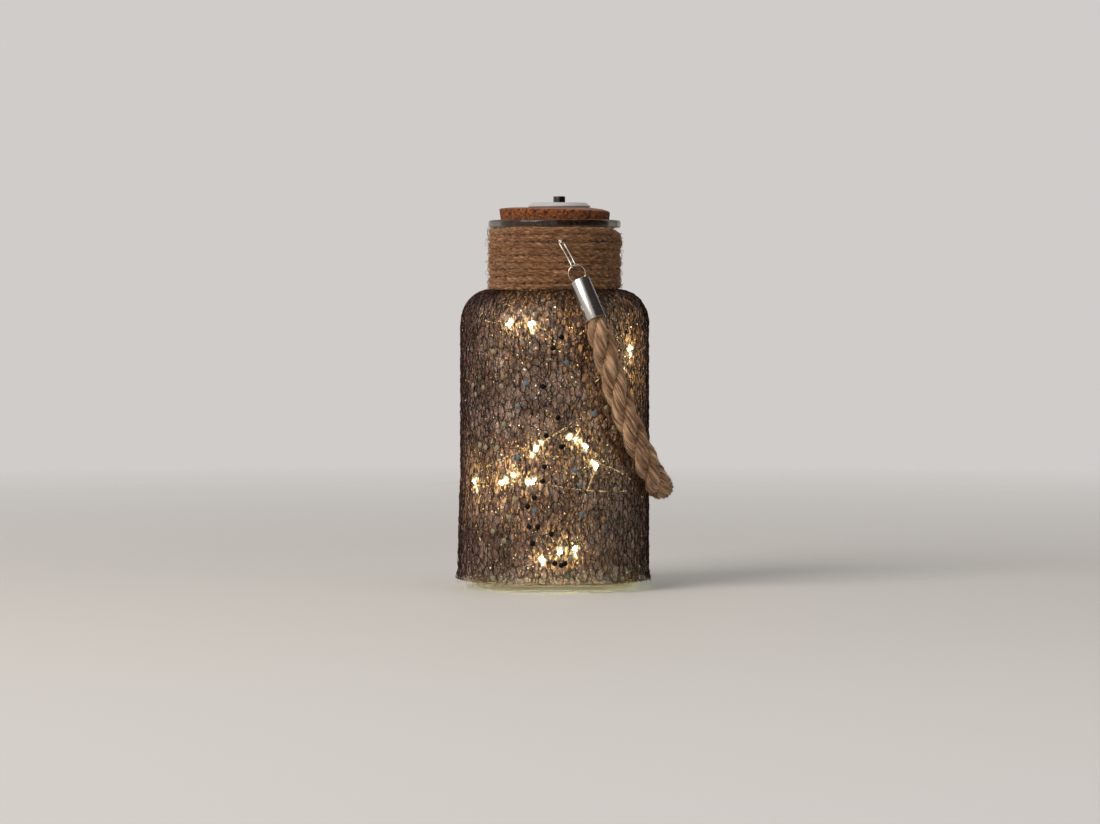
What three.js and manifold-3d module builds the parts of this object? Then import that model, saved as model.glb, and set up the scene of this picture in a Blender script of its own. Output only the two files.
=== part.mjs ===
// A jar of lights with a cork stopper, a twine-wound neck, a net sleeve and a rope handle that swings
// on two studs. Millimetres, +Z up, origin at the middle of the base, handle hanging towards +X.
import * as THREE from "three";
import { mergeVertices } from "three/addons/utils/BufferGeometryUtils.js";
import Module from "manifold-3d";

const wasm = await Module();
wasm.setup();

// Sizes that several pieces share
const seatGap = 0.3; // between pieces that rest on each other
const cutOverrun = 1; // how far a cutting cylinder runs past the wall
const roundSides = 36; // facets of the pieces centred on the jar's axis

// Glass jar
const jarRadius = 51;
const jarHeight = 206;
const glassWall = 2.6;
const glassFloor = 5.5;
const puntHeight = 3;
const standingWidth = 4; // the flat ring that the jar stands on
const heelRadius = 12;
const innerHeelRadius = 9;
const neckHeight = 40.7; // from the shoulder's top to the rim's top
const shoulderHeight = 16.8;
const neckRadius = 33.2;
const neckFillet = 2.2;
const rimOverhang = 4; // past the neck's wall
const rimHeight = 4.3;
const rimRound = 1.2;

// Net sleeve over the jar
const sleeveWall = 1.1;
const sleeveNeckWall = 0.5;
const sleeveFoot = 4.6; // height of the hem's lowest points
const sleeveCollar = 18; // how far the net runs up the neck, under the twine
const hemFlare = 1.3;
const hemBand = 7; // height over which the hem is flared and ragged
const hemRagged = 1.1;
const hemWaveCounts = [7, 13, 19];

// Twine round the neck
const twineDiameter = 3.2;
const windingRows = 9;
const rowsBelowCollar = 7;
const collarGroove = 1.6; // extra room between two rows, where the studs come out
const climbTurnShare = 0.17; // share of each turn in which the twine climbs to the next row
const windingSteps = 24;
const windingSides = 6;

// Wire collar with its two studs
const collarWire = 1.2;
const studDiameter = 0.8;
const studReach = 3.9; // from the twine to the middle of the stud's tip
const studTip = 1.9;
const wireSides = 6;

// Chain from stud to rope: link, ring, eye and ferrule
const linkWire = 0.75;
const linkStandOff = 2.6; // from the twine to the link's wire at the stud
const linkHookBack = 1.2; // how far the hooked end runs back up
const ringOuter = 10.2;
const ringWire = 0.8;
const ringStandOff = 11.6; // from the twine to the ring
const ringAside = 8; // from the studs' axis towards the side that the handle hangs on
const ringDrop = 17.5; // from the studs' axis down to the ring's middle
const ferruleDiameter = 11.4;
const ferruleLength = 24;
const ferruleWall = 0.6;
const ferruleRecess = 2.5;
const ferruleEndWall = 0.8;
const ferruleLeanDegrees = 20.9;
const ferruleTiltDegrees = 18.4;
const ringSeatDepth = 0.3; // how far the ring's wire dips below the ferrule's edge
const eyeWire = 0.9;

// Rope handle: its route is an angle from the middle, as a share of a quarter turn round the jar,
// and a height, as a share of the studs' height
const ropeDiameter = 13.5;
const ropeEndDiameter = 9.2; // where it is pressed into a ferrule
const ropeSwell = 12; // length over which it reaches its full size
const ropeGap = 0.55; // between the rope and the net sleeve
const ropeSteps = 56;
const ropeSides = 10;
const ropeRouteShares = [
  [0.785, 0.732],
  [0.738, 0.672],
  [0.643, 0.544],
  [0.573, 0.48],
  [0.491, 0.418],
  [0.382, 0.357],
  [0.256, 0.31],
  [0, 0.2905],
];

// Cork stopper
const corkOversize = 0.5; // how much wider than the mouth its top is
const corkUndersize = 1.9; // how much narrower than the mouth its foot is
const corkLength = 17.7;
const corkInsertion = 12;
const corkDome = 1.3;
const corkSlant = 0.95; // how much its edge rises at one side and falls on the handle's side
const corkChamfer = 0.6;
const corkDomeShare = 0.58; // where the dome ends, as a share of the top's radius

// Light module in the cork
const moduleRadius = 15;
const moduleAside = 2.6; // from the cork's middle towards the handle's side
const moduleLength = 23.3; // below the flange
const moduleWall = 1.2;
const flangeRadius = 17.5;
const flangeHeight = 2.5;
const flangeEdge = 0.6;
const flangeBevel = 2.2;
const topPlate = 1.6;
const ledgeHeight = 1;
const ledgeWidth = 1.6;

// Push button and its switch
const buttonRadius = 3.4;
const buttonStandUp = 3.7;
const buttonTravel = 1.5;
const buttonRound = 0.5;
const buttonLip = 1;
const buttonLipHeight = 0.8;
const buttonBoreRadius = 1.5;
const buttonBoreDepth = 2.9;
const switchWidth = 7;
const switchHeight = 5;

// Board, cells, contacts and cover
const boardThickness = 1;
const cellRadius = 10;
const cellThickness = 3.2;
const contactThickness = 0.4;
const contactRadius = 7;
const contactPost = 1.2;
const coverThickness = 1.4;
const screwDiameter = 1.6;
const screwLength = 6;
const screwHeadDiameter = 3.2;
const screwHeadHeight = 0.9;
const grommetStemRadius = 1.2;
const grommetFlangeRadius = 2.2;
const grommetFlangeHeight = 0.8;
const grommetBoreRadius = 0.45;

// Light string: each place is an angle in degrees from the front, counted towards the handle's side,
// a radius as a share of the jar's inner radius, a height as a share of the shoulder's start,
// and 1 where a light sits
const stringWire = 0.55;
const lightRadius = 1.05;
const stringSteps = 80;
const stringSides = 8;
const stringRouteShares = [
  [181, 0.4, 1.22, 0],
  [195, 0.52, 1.15, 0],
  [233, 0.74, 1.082, 0],
  [279, 0.88, 1.022, 0],
  [320.4, 0.91, 0.995, 1],
  [339.2, 0.91, 1.002, 1],
  [361, 0.92, 0.921, 0],
  [380.6, 0.92, 0.982, 0],
  [426.4, 0.91, 0.905, 1],
  [472.6, 0.91, 0.82, 1],
  [503, 0.91, 0.766, 0],
  [513, 0.91, 0.652, 0],
  [546, 0.92, 0.532, 0],
  [587, 0.93, 0.462, 0],
  [625, 0.945, 0.412, 0],
  [638, 0.945, 0.403, 1],
  [676, 0.94, 0.406, 1],
  [698.8, 0.93, 0.409, 1],
  [735, 0.92, 0.382, 0],
  [780, 0.92, 0.372, 0],
  [825, 0.92, 0.412, 0],
  [875, 0.92, 0.472, 0],
  [925, 0.92, 0.472, 0],
  [970, 0.92, 0.432, 0],
  [1007, 0.91, 0.387, 0],
  [1036, 0.91, 0.422, 0],
  [1062, 0.9, 0.537, 1],
  [1075, 0.89, 0.58, 0],
  [1097.7, 0.9, 0.544, 1],
  [1105.8, 0.91, 0.474, 1],
  [1100, 0.92, 0.402, 0],
  [1092.6, 0.93, 0.292, 0],
  [1092, 0.93, 0.212, 0],
  [1089, 0.93, 0.167, 1],
  [1079, 0.92, 0.152, 1],
  [1066.4, 0.9, 0.122, 1],
  [1041, 0.84, 0.09, 0],
  [1015, 0.87, 0.132, 0],
  [1001, 0.92, 0.232, 0],
  [1006, 0.93, 0.322, 0],
  [1013, 0.93, 0.362, 0],
];

// Sizes that follow
const innerRadius = jarRadius - glassWall;
const mouthRadius = neckRadius - glassWall;
const shoulderWidth = jarRadius - neckRadius - neckFillet;
const shoulderTop = jarHeight - neckHeight;
const shoulderStart = shoulderTop - shoulderHeight;
const rimRadius = neckRadius + rimOverhang;
const rimFoot = jarHeight - rimHeight;
const sleeveOffset = seatGap + sleeveWall;
const sleeveRadius = jarRadius + sleeveOffset;
const sleeveNeckRadius = neckRadius + seatGap + sleeveNeckWall;
const twineRadius = twineDiameter / 2;
const windingFoot = shoulderTop + sleeveOffset + seatGap;
const windingTop = rimFoot - seatGap;
const rowPitch = (windingTop - windingFoot - twineDiameter - collarGroove) / (windingRows - 1);
const windingRadius = (sleeveNeckRadius + seatGap) / Math.cos(Math.PI / windingSteps) + twineRadius;
const windingOuter = windingRadius + twineRadius;
const collarRadius = neckRadius + seatGap + collarWire / 2;
const crossingRadius =
  (collarRadius + collarWire / 2 + seatGap) / Math.cos(Math.PI / windingSteps) + twineRadius;
const studHeight =
  windingFoot + twineRadius + (rowsBelowCollar - 1 / 2) * rowPitch + collarGroove / 2;

// Geometry helpers
const lerp = THREE.MathUtils.lerp;
const radians = THREE.MathUtils.degToRad;
const smooth = (t) => THREE.MathUtils.smoothstep(t, 0, 1);

function arc(centreR, centreZ, radiusR, radiusZ, fromDegrees, toDegrees, steps) {
  return Array.from({ length: steps + 1 }, (_, i) => {
    const angle = radians(lerp(fromDegrees, toDegrees, i / steps));
    return [centreR + radiusR * Math.cos(angle), centreZ + radiusZ * Math.sin(angle)];
  });
}

// Turns an outline of [radius, height] pairs round the Z axis. Outer walls run upwards in it.
function turned(outline, sides = roundSides) {
  const points = outline.map(([r, z]) => new THREE.Vector2(r, z));
  return new THREE.LatheGeometry(points, sides).rotateX(Math.PI / 2);
}

const closedOutline = (outline) => [...outline, outline[0]];

function disc(radius, foot, height, sides = roundSides, x = 0, y = 0) {
  return new THREE.CylinderGeometry(radius, radius, height, sides)
    .rotateX(Math.PI / 2)
    .translate(x, y, foot + height / 2);
}

// Joins rings of points into one closed skin, with a cap on each end.
function skin(rings) {
  const sides = rings[0].length;
  const last = (rings.length - 1) * sides;
  const index = [];
  for (let i = 0; i < rings.length - 1; i++) {
    for (let j = 0; j < sides; j++) {
      const a = i * sides + j;
      const b = i * sides + ((j + 1) % sides);
      index.push(a, b, a + sides, b, b + sides, a + sides);
    }
  }
  for (let j = 1; j < sides - 1; j++) {
    index.push(0, j + 1, j, last, last + j, last + j + 1);
  }
  return new THREE.BufferGeometry().setFromPoints(rings.flat()).setIndex(index);
}

// A closed tube along a curve, whose radius may change along its length.
function sweep(curve, steps, sides, radiusAt) {
  const frames = curve.computeFrenetFrames(steps, false);
  const rings = Array.from({ length: steps + 1 }, (_, i) => {
    const centre = curve.getPointAt(i / steps);
    const radius = radiusAt(i / steps);
    return Array.from({ length: sides }, (_, j) => {
      const angle = (2 * Math.PI * j) / sides;
      return centre
        .clone()
        .addScaledVector(frames.normals[i], radius * Math.cos(angle))
        .addScaledVector(frames.binormals[i], radius * Math.sin(angle));
    });
  });
  return skin(rings);
}

function smoothCurve(points, closed = false) {
  return new THREE.CatmullRomCurve3(points, closed, "centripetal");
}

function solid(geometry) {
  const plain = geometry.clone();
  plain.deleteAttribute("normal");
  plain.deleteAttribute("uv");
  const merged = mergeVertices(plain);
  return new wasm.Manifold(
    new wasm.Mesh({
      numProp: 3,
      vertProperties: merged.attributes.position.array,
      triVerts: new Uint32Array(merged.index.array),
    }),
  );
}

function shape(manifold) {
  const { vertProperties, triVerts } = manifold.getMesh();
  return new THREE.BufferGeometry()
    .setAttribute("position", new THREE.BufferAttribute(vertProperties, 3))
    .setIndex(new THREE.BufferAttribute(triVerts, 1));
}

const joined = (...parts) => shape(parts.map(solid).reduce((a, b) => a.add(b)));
const cut = (body, ...tools) => shape(tools.map(solid).reduce((a, b) => a.subtract(b), solid(body)));

// Finishes
const finishes = {
  glass: new THREE.MeshStandardMaterial({
    color: 0xdfe9e4,
    roughness: 0.05,
    metalness: 0,
    transparent: true,
    opacity: 0.35,
  }),
  net: new THREE.MeshStandardMaterial({ color: 0x5b3a28, roughness: 0.6, metalness: 0.3 }),
  jute: new THREE.MeshStandardMaterial({ color: 0x9a7350, roughness: 0.95, metalness: 0 }),
  steel: new THREE.MeshStandardMaterial({ color: 0xc9c6c2, roughness: 0.18, metalness: 1 }),
  cork: new THREE.MeshStandardMaterial({ color: 0xa8693c, roughness: 0.85, metalness: 0 }),
  white: new THREE.MeshStandardMaterial({ color: 0xe4e6e8, roughness: 0.35, metalness: 0 }),
  black: new THREE.MeshStandardMaterial({ color: 0x0b0b0c, roughness: 0.2, metalness: 0 }),
  board: new THREE.MeshStandardMaterial({ color: 0x1e5b34, roughness: 0.5, metalness: 0 }),
  rubber: new THREE.MeshStandardMaterial({ color: 0x26231f, roughness: 0.8, metalness: 0 }),
  copper: new THREE.MeshStandardMaterial({ color: 0xd9b27a, roughness: 0.3, metalness: 0.9 }),
};

function piece(name, geometry, finish, parent) {
  const mesh = new THREE.Mesh(geometry, finishes[finish]);
  mesh.name = name;
  parent.add(mesh);
  return mesh;
}

// The jar's outer wall from the heel's top to the neck, moved outwards by an offset
function wallOutline(offset) {
  const filletZ = shoulderTop + neckFillet;
  return [
    ...arc(
      neckRadius + neckFillet,
      shoulderStart,
      shoulderWidth + offset,
      shoulderHeight + offset,
      0,
      82,
      7,
    ),
    ...arc(neckRadius + neckFillet, filletZ, neckFillet - offset, neckFillet - offset, 270, 180, 2),
  ];
}

function jarGeometry() {
  const ringOuterEdge = jarRadius - heelRadius;
  const ringInnerEdge = ringOuterEdge - standingWidth;
  const puntShares = [0, 0.45, 0.8];
  return turned([
    ...puntShares.map((s) => [ringInnerEdge * s, puntHeight * (1 - s * s)]),
    [ringInnerEdge, 0],
    ...arc(ringOuterEdge, heelRadius, heelRadius, heelRadius, 270, 360, 4),
    ...wallOutline(0),
    [neckRadius, rimFoot],
    ...arc(rimRadius - rimRound, rimFoot + rimRound, rimRound, rimRound, 290, 360, 1),
    ...arc(rimRadius - rimRound, jarHeight - rimRound, rimRound, rimRound, 0, 90, 2),
    ...arc(mouthRadius + rimRound, jarHeight - rimRound, rimRound, rimRound, 90, 180, 2),
    ...wallOutline(-glassWall).reverse(),
    ...arc(
      innerRadius - innerHeelRadius,
      glassFloor + innerHeelRadius,
      innerHeelRadius,
      innerHeelRadius,
      0,
      -90,
      3,
    ),
    [0, glassFloor],
  ]);
}

// The net is one closed shell. Near its lower edge it flares and its hem is ragged.
function sleeveGeometry() {
  const collarTop = windingFoot + sleeveCollar;
  const inner = wallOutline(seatGap);
  const outer = wallOutline(sleeveOffset);
  const foot = sleeveFoot + hemRagged;
  const bandTop = foot + hemBand;
  const geometry = turned(
    closedOutline([
      [jarRadius + seatGap, foot],
      [sleeveRadius, foot],
      [sleeveRadius, lerp(foot, bandTop, 1 / 2)],
      [sleeveRadius, bandTop],
      ...outer,
      [sleeveNeckRadius, windingFoot],
      [sleeveNeckRadius, collarTop],
      [neckRadius + seatGap, collarTop],
      ...inner.reverse(),
      [jarRadius + seatGap, bandTop],
      [jarRadius + seatGap, lerp(foot, bandTop, 1 / 2)],
    ]),
  );
  const position = geometry.attributes.position;
  const point = new THREE.Vector3();
  for (let i = 0; i < position.count; i++) {
    point.fromBufferAttribute(position, i);
    const near = Math.max(0, (bandTop - point.z) / hemBand);
    const angle = Math.atan2(point.y, point.x);
    const wave = hemWaveCounts.reduce((sum, n) => sum + Math.cos(n * angle + n), 0);
    const ragged = wave / hemWaveCounts.length;
    const spread = 1 + (hemFlare * near * near * (1 + ragged / 2)) / sleeveRadius;
    position.setXYZ(i, point.x * spread, point.y * spread, point.z - hemRagged * ragged * near);
  }
  return geometry;
}

// The twine lies level for most of each turn and climbs to the next row on the handle's side, where it
// also steps over the wire collar.
function twineAt(turn) {
  const nearest = Math.round(turn);
  const row = nearest - 1 + smooth((turn - nearest + climbTurnShare / 2) / climbTurnShare);
  const past = THREE.MathUtils.clamp(row - (rowsBelowCollar - 1), 0, 1);
  return {
    radius: lerp(windingRadius, crossingRadius, Math.sqrt(Math.sin(Math.PI * past))),
    height: windingFoot + twineRadius + row * rowPitch + past * collarGroove,
    angle: 2 * Math.PI * turn,
  };
}

function windingRings() {
  const first = climbTurnShare / 2;
  const last = windingRows - climbTurnShare / 2;
  const steps = Math.round((last - first) * windingSteps);
  return Array.from({ length: steps + 1 }, (_, i) => {
    const { radius, height, angle } = twineAt(lerp(first, last, i / steps));
    return Array.from({ length: windingSides }, (_, j) => {
      const around = (2 * Math.PI * j) / windingSides;
      const r = radius + twineRadius * Math.sin(around);
      return new THREE.Vector3(
        r * Math.cos(angle),
        r * Math.sin(angle),
        height + twineRadius * Math.cos(around),
      );
    });
  });
}

// The least distance between the twine's surface points on neighbouring rows
function leastGap(rings) {
  let least = Infinity;
  const apart = Math.round(windingSteps / 2);
  for (let i = 0; i < rings.length; i++) {
    for (let k = i + apart; k < rings.length; k++) {
      for (const a of rings[i]) {
        for (const b of rings[k]) {
          least = Math.min(least, a.distanceTo(b));
        }
      }
    }
  }
  return least;
}

function collarGeometry() {
  const ring = new THREE.TorusGeometry(collarRadius, collarWire / 2, wireSides, roundSides);
  const tipReach = windingOuter + studReach;
  const studs = [-1, 1].flatMap((side) => [
    new THREE.CylinderGeometry(studDiameter / 2, studDiameter / 2, tipReach - collarRadius, wireSides)
      .translate(0, (side * (tipReach + collarRadius)) / 2, 0),
    new THREE.SphereGeometry(studTip / 2, wireSides, wireSides).translate(0, side * tipReach, 0),
  ]);
  return joined(ring, ...studs);
}

// Directions and places of one chain, on the side of -Y (side -1) or of +Y (side 1), counted from the
// middle of the studs' axis
function chainFrame(side) {
  const lean = radians(ferruleLeanDegrees);
  const tilt = radians(ferruleTiltDegrees);
  const outward = new THREE.Vector3(0, side, 0);
  const down = new THREE.Vector3(
    Math.sin(lean) * Math.cos(tilt),
    side * Math.sin(tilt),
    -Math.cos(lean) * Math.cos(tilt),
  );
  const ringMiddle = new THREE.Vector3(ringAside, side * (windingOuter + ringStandOff), -ringDrop);
  const ringRadius = (ringOuter - ringWire) / 2;
  const ringTangent = new THREE.Vector3(Math.cos(lean), 0, Math.sin(lean));
  const ringFoot = ringMiddle
    .clone()
    .addScaledVector(new THREE.Vector3(Math.sin(lean), 0, -Math.cos(lean)), ringRadius);
  const ferruleTop = ringFoot.clone().addScaledVector(down, -ringSeatDepth);
  return { outward, down, ringMiddle, ringRadius, ringTangent, ringFoot, ferruleTop };
}

// A long wire link: round the stud at one end, hooked through the ring at the other
function linkGeometry(side) {
  const { outward, ringMiddle, ringRadius } = chainFrame(side);
  const along = new THREE.Vector3(ringMiddle.x, 0, ringMiddle.z);
  const reach = along.length() - ringRadius;
  along.normalize();
  const across = new THREE.Vector3(-along.z, 0, along.x);
  const half = studDiameter / 2 + seatGap + linkWire / 2;
  const bend = ringWire / 2 + seatGap + linkWire / 2;
  const ringAtLeg = reach + ringRadius - Math.sqrt(ringRadius ** 2 - half ** 2);
  const start = windingOuter + linkStandOff;
  const ringOut = windingOuter + ringStandOff;
  const slant = bend / Math.SQRT2;
  const rise = ringOut + bend - start;
  const leg = [
    [1, 0, start],
    [1, reach * (1 / 4), start + rise * (1 / 6)],
    [1, reach * (1 / 2), start + rise * (1 / 2)],
    [1, reach * (3 / 4), start + rise * (5 / 6)],
    [1, ringAtLeg, ringOut + bend],
    [1, ringAtLeg + slant, ringOut + slant],
    [1, ringAtLeg + bend, ringOut],
    [1, ringAtLeg + slant, ringOut - slant],
    [1, ringAtLeg, ringOut - bend],
    [1, ringAtLeg - linkHookBack, ringOut - bend],
  ];
  const other = leg.map(([s, d, o]) => [-s, d, o]).reverse();
  const slantShare = Math.SQRT1_2;
  const route = [
    [0, -half, start],
    [slantShare, -half * slantShare, start],
    ...leg,
    [slantShare, ringAtLeg - linkHookBack - half * slantShare, ringOut - bend],
    [0, ringAtLeg - linkHookBack - half, ringOut - bend],
    [-slantShare, ringAtLeg - linkHookBack - half * slantShare, ringOut - bend],
    ...other,
    [-slantShare, -half * slantShare, start],
  ].map(([s, d, o]) =>
    new THREE.Vector3()
      .addScaledVector(across, s * half)
      .addScaledVector(along, d)
      .addScaledVector(outward, o),
  );
  return new THREE.TubeGeometry(smoothCurve(route, true), 50, linkWire / 2, 6, true);
}

const eyeHalf = ringWire / 2 + seatGap + eyeWire / 2;

// A polished tube with a recessed end wall, which the eye's two legs go through. Its top is at zero.
function ferruleGeometry() {
  const outer = ferruleDiameter / 2;
  const inner = outer - ferruleWall;
  const body = turned(
    [
      [0, -ferruleRecess - ferruleEndWall],
      [inner, -ferruleRecess - ferruleEndWall],
      [inner, -ferruleLength],
      [outer, -ferruleLength],
      [outer, 0],
      [inner, 0],
      [inner, -ferruleRecess],
      [0, -ferruleRecess],
    ],
    24,
  );
  const holeRadius = eyeWire / 2 + seatGap;
  const holes = [-eyeHalf, eyeHalf].map((x) =>
    disc(
      holeRadius,
      -ferruleRecess - ferruleEndWall - cutOverrun,
      ferruleEndWall + 2 * cutOverrun,
      wireSides,
      x,
    ),
  );
  return cut(body, ...holes);
}

const eyeBar = -ferruleRecess - ferruleEndWall - seatGap - eyeWire / 2;

function eyeGeometry() {
  const corner = eyeHalf / 2;
  const arch = arc(0, ringSeatDepth, eyeHalf, eyeHalf, 0, 180, 6);
  const legTop = -ferruleRecess;
  const route = [
    ...arch,
    [-eyeHalf, legTop / 2],
    [-eyeHalf, legTop],
    [-eyeHalf, eyeBar + corner],
    [-eyeHalf + corner, eyeBar],
    [eyeHalf - corner, eyeBar],
    [eyeHalf, eyeBar + corner],
    [eyeHalf, legTop],
    [eyeHalf, legTop / 2],
  ].map(([x, z]) => new THREE.Vector3(x, 0, z));
  return new THREE.TubeGeometry(smoothCurve(route, true), 30, eyeWire / 2, 6, true);
}

const ropeStart = -eyeBar + eyeWire / 2 + seatGap;

// Half of the rope's middle line, from inside its ferrule to the lowest point
function ropeHalf(side) {
  const { down, ferruleTop } = chainFrame(side);
  const hugRadius = sleeveRadius + ropeGap + ropeDiameter / 2;
  const straightShares = [0, 0.3, 0.65, 1];
  return [
    ...straightShares.map((s) =>
      ferruleTop.clone().addScaledVector(down, lerp(ropeStart, ferruleLength, s)),
    ),
    ...ropeRouteShares.map(([turnShare, heightShare]) => {
      const angle = (turnShare * Math.PI) / 2;
      return new THREE.Vector3(
        hugRadius * Math.cos(angle),
        side * hugRadius * Math.sin(angle),
        (heightShare - 1) * studHeight,
      );
    }),
  ];
}

function ropeGeometry() {
  const front = ropeHalf(-1);
  const rear = ropeHalf(1).reverse().slice(1);
  const curve = smoothCurve([...front, ...rear]);
  const length = curve.getLength();
  const pressed = ferruleLength - ropeStart + seatGap;
  return sweep(curve, ropeSteps, ropeSides, (share) => {
    const fromEnd = Math.min(share, 1 - share) * length;
    return lerp(ropeEndDiameter / 2, ropeDiameter / 2, smooth((fromEnd - pressed) / ropeSwell));
  });
}

const flangeFoot = jarHeight + corkLength - corkInsertion + corkDome + seatGap;
const flangeTop = flangeFoot + flangeHeight;
const corkBore = moduleRadius + seatGap;

// The cork's top is cut a little askew, and its level part lies round the module
function corkGeometry() {
  const corkTopRadius = mouthRadius + corkOversize;
  const corkFootRadius = mouthRadius - corkUndersize;
  const levelRadius = corkTopRadius * corkDomeShare;
  const foot = jarHeight - corkInsertion;
  const edge = foot + corkLength;
  const body = turned([
    [0, foot],
    [corkFootRadius - corkChamfer, foot],
    [corkFootRadius, foot + corkChamfer],
    [mouthRadius - seatGap, jarHeight - rimRound],
    [corkTopRadius, edge - corkChamfer],
    [corkTopRadius - corkChamfer, edge],
    [lerp(corkTopRadius, levelRadius, 1 / 3), edge + corkDome * (3 / 5)],
    [levelRadius, edge + corkDome],
    [0, edge + corkDome],
  ]);
  const position = body.attributes.position;
  const point = new THREE.Vector3();
  for (let i = 0; i < position.count; i++) {
    point.fromBufferAttribute(position, i);
    if (point.z > jarHeight) {
      const radius = Math.hypot(point.x, point.y);
      const share = THREE.MathUtils.inverseLerp(corkTopRadius, levelRadius, radius);
      const inward = THREE.MathUtils.clamp(share, 0, 1);
      const slant = (corkSlant * (1 - inward) * point.x) / corkTopRadius;
      position.setXYZ(i, point.x + moduleAside * inward, point.y, point.z - slant);
    }
  }
  const boreHeight = corkLength + corkDome + 2 * cutOverrun;
  return cut(body, disc(corkBore, foot - cutOverrun, boreHeight, roundSides, moduleAside));
}

const moduleFoot = flangeFoot - moduleLength;
const moduleInner = moduleRadius - moduleWall;
const ceiling = flangeTop - topPlate;
const buttonFoot = ceiling - seatGap - buttonLipHeight;
const switchTop = buttonFoot - buttonTravel - seatGap;
const boardTop = switchTop - switchHeight - seatGap;
const boardFoot = boardTop - boardThickness;
const ledgeFoot = boardTop + seatGap;
const coverTop = moduleFoot + coverThickness;
const insideRadius = moduleInner - seatGap;
const holderBore = cellRadius + seatGap;
const holderFoot = coverTop + seatGap;
const holderTop = boardFoot - seatGap;
const fixingRadius = (insideRadius + holderBore) / 2;
const screwHole = screwDiameter / 2 + seatGap;
const grommetHole = grommetStemRadius + seatGap;
const screwHeadTop = moduleFoot - seatGap;

function housingGeometry() {
  return turned(
    closedOutline([
      [moduleInner, moduleFoot],
      [moduleRadius, moduleFoot],
      [moduleRadius, flangeFoot],
      [flangeRadius, flangeFoot],
      [flangeRadius, flangeFoot + flangeEdge],
      [flangeRadius - flangeBevel, flangeTop],
      [buttonRadius + seatGap, flangeTop],
      [buttonRadius + seatGap, ceiling],
      [moduleInner, ceiling],
      [moduleInner, ledgeFoot + ledgeHeight],
      [moduleInner - ledgeWidth, ledgeFoot + ledgeHeight],
      [moduleInner - ledgeWidth, ledgeFoot],
      [moduleInner, ledgeFoot],
    ]),
    24,
  );
}

function buttonGeometry() {
  const top = flangeTop + buttonStandUp;
  return turned(
    [
      [0, buttonFoot + buttonBoreDepth],
      [buttonBoreRadius, buttonFoot + buttonBoreDepth],
      [buttonBoreRadius, buttonFoot],
      [buttonRadius + buttonLip, buttonFoot],
      [buttonRadius + buttonLip, buttonFoot + buttonLipHeight],
      [buttonRadius, buttonFoot + buttonLipHeight],
      ...arc(buttonRadius - buttonRound, top - buttonRound, buttonRound, buttonRound, 0, 90, 3),
      [0, top],
    ],
    24,
  );
}

// The switch under the button, whose plunger reaches into the button's bore
function switchGeometry() {
  const body = new THREE.BoxGeometry(switchWidth, switchWidth, switchHeight)
    .translate(0, 0, switchTop - switchHeight / 2);
  const plungerTop = buttonFoot + buttonBoreDepth - buttonTravel - seatGap;
  const plungerFoot = switchTop - cutOverrun;
  const plunger = disc(buttonBoreRadius - seatGap, plungerFoot, plungerTop - plungerFoot, 16);
  return joined(body, plunger);
}

function holderGeometry() {
  const ring = turned(
    closedOutline([
      [holderBore, holderFoot],
      [insideRadius, holderFoot],
      [insideRadius, holderTop],
      [holderBore, holderTop],
    ]),
    32,
  );
  const pilotHeight = screwLength + cutOverrun + seatGap;
  const pilots = [-fixingRadius, fixingRadius].map((x) =>
    disc(screwHole, holderFoot - cutOverrun, pilotHeight + cutOverrun - coverThickness, 12, x),
  );
  const leadWay = disc(
    screwHole,
    holderFoot - cutOverrun,
    holderTop - holderFoot + 2 * cutOverrun,
    12,
    0,
    fixingRadius,
  );
  return cut(ring, ...pilots, leadWay);
}

function coverGeometry() {
  const height = coverThickness + 2 * cutOverrun;
  const foot = moduleFoot - cutOverrun;
  return cut(
    disc(insideRadius, moduleFoot, coverThickness, 32),
    disc(screwHole, foot, height, 12, -fixingRadius),
    disc(screwHole, foot, height, 12, fixingRadius),
    disc(grommetHole, foot, height, 12, 0, fixingRadius),
  );
}

function screwGeometry() {
  const shank = screwDiameter / 2;
  const head = screwHeadDiameter / 2;
  return turned(
    [
      [0, screwHeadTop - screwHeadHeight],
      [head, screwHeadTop - screwHeadHeight],
      [head, screwHeadTop],
      [shank, screwHeadTop],
      [shank, screwHeadTop + screwLength - shank],
      [0, screwHeadTop + screwLength],
    ],
    12,
  );
}

function grommetGeometry() {
  const flangeFaceTop = moduleFoot - seatGap;
  return turned(
    closedOutline([
      [grommetBoreRadius, flangeFaceTop - grommetFlangeHeight],
      [grommetFlangeRadius, flangeFaceTop - grommetFlangeHeight],
      [grommetFlangeRadius, flangeFaceTop],
      [grommetStemRadius, flangeFaceTop],
      [grommetStemRadius, coverTop],
      [grommetBoreRadius, coverTop],
    ]),
    12,
  );
}

// A contact plate with a post: the positive one reaches up to the board, the negative one is a spring
// dimple under the lower cell
function contactGeometry(plateFoot, postFoot, postTop) {
  return joined(
    disc(contactRadius, plateFoot, contactThickness, 24),
    disc(contactPost, postFoot, postTop - postFoot, 12),
  );
}

// The point of a line, given as its corners, that lies nearest to a place
function nearest(line, place) {
  const candidates = line.slice(1).map((end, i) =>
    new THREE.Line3(line[i], end).closestPointToPoint(place, true, new THREE.Vector3()),
  );
  return candidates.reduce((a, b) => (b.distanceTo(place) < a.distanceTo(place) ? b : a));
}

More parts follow.
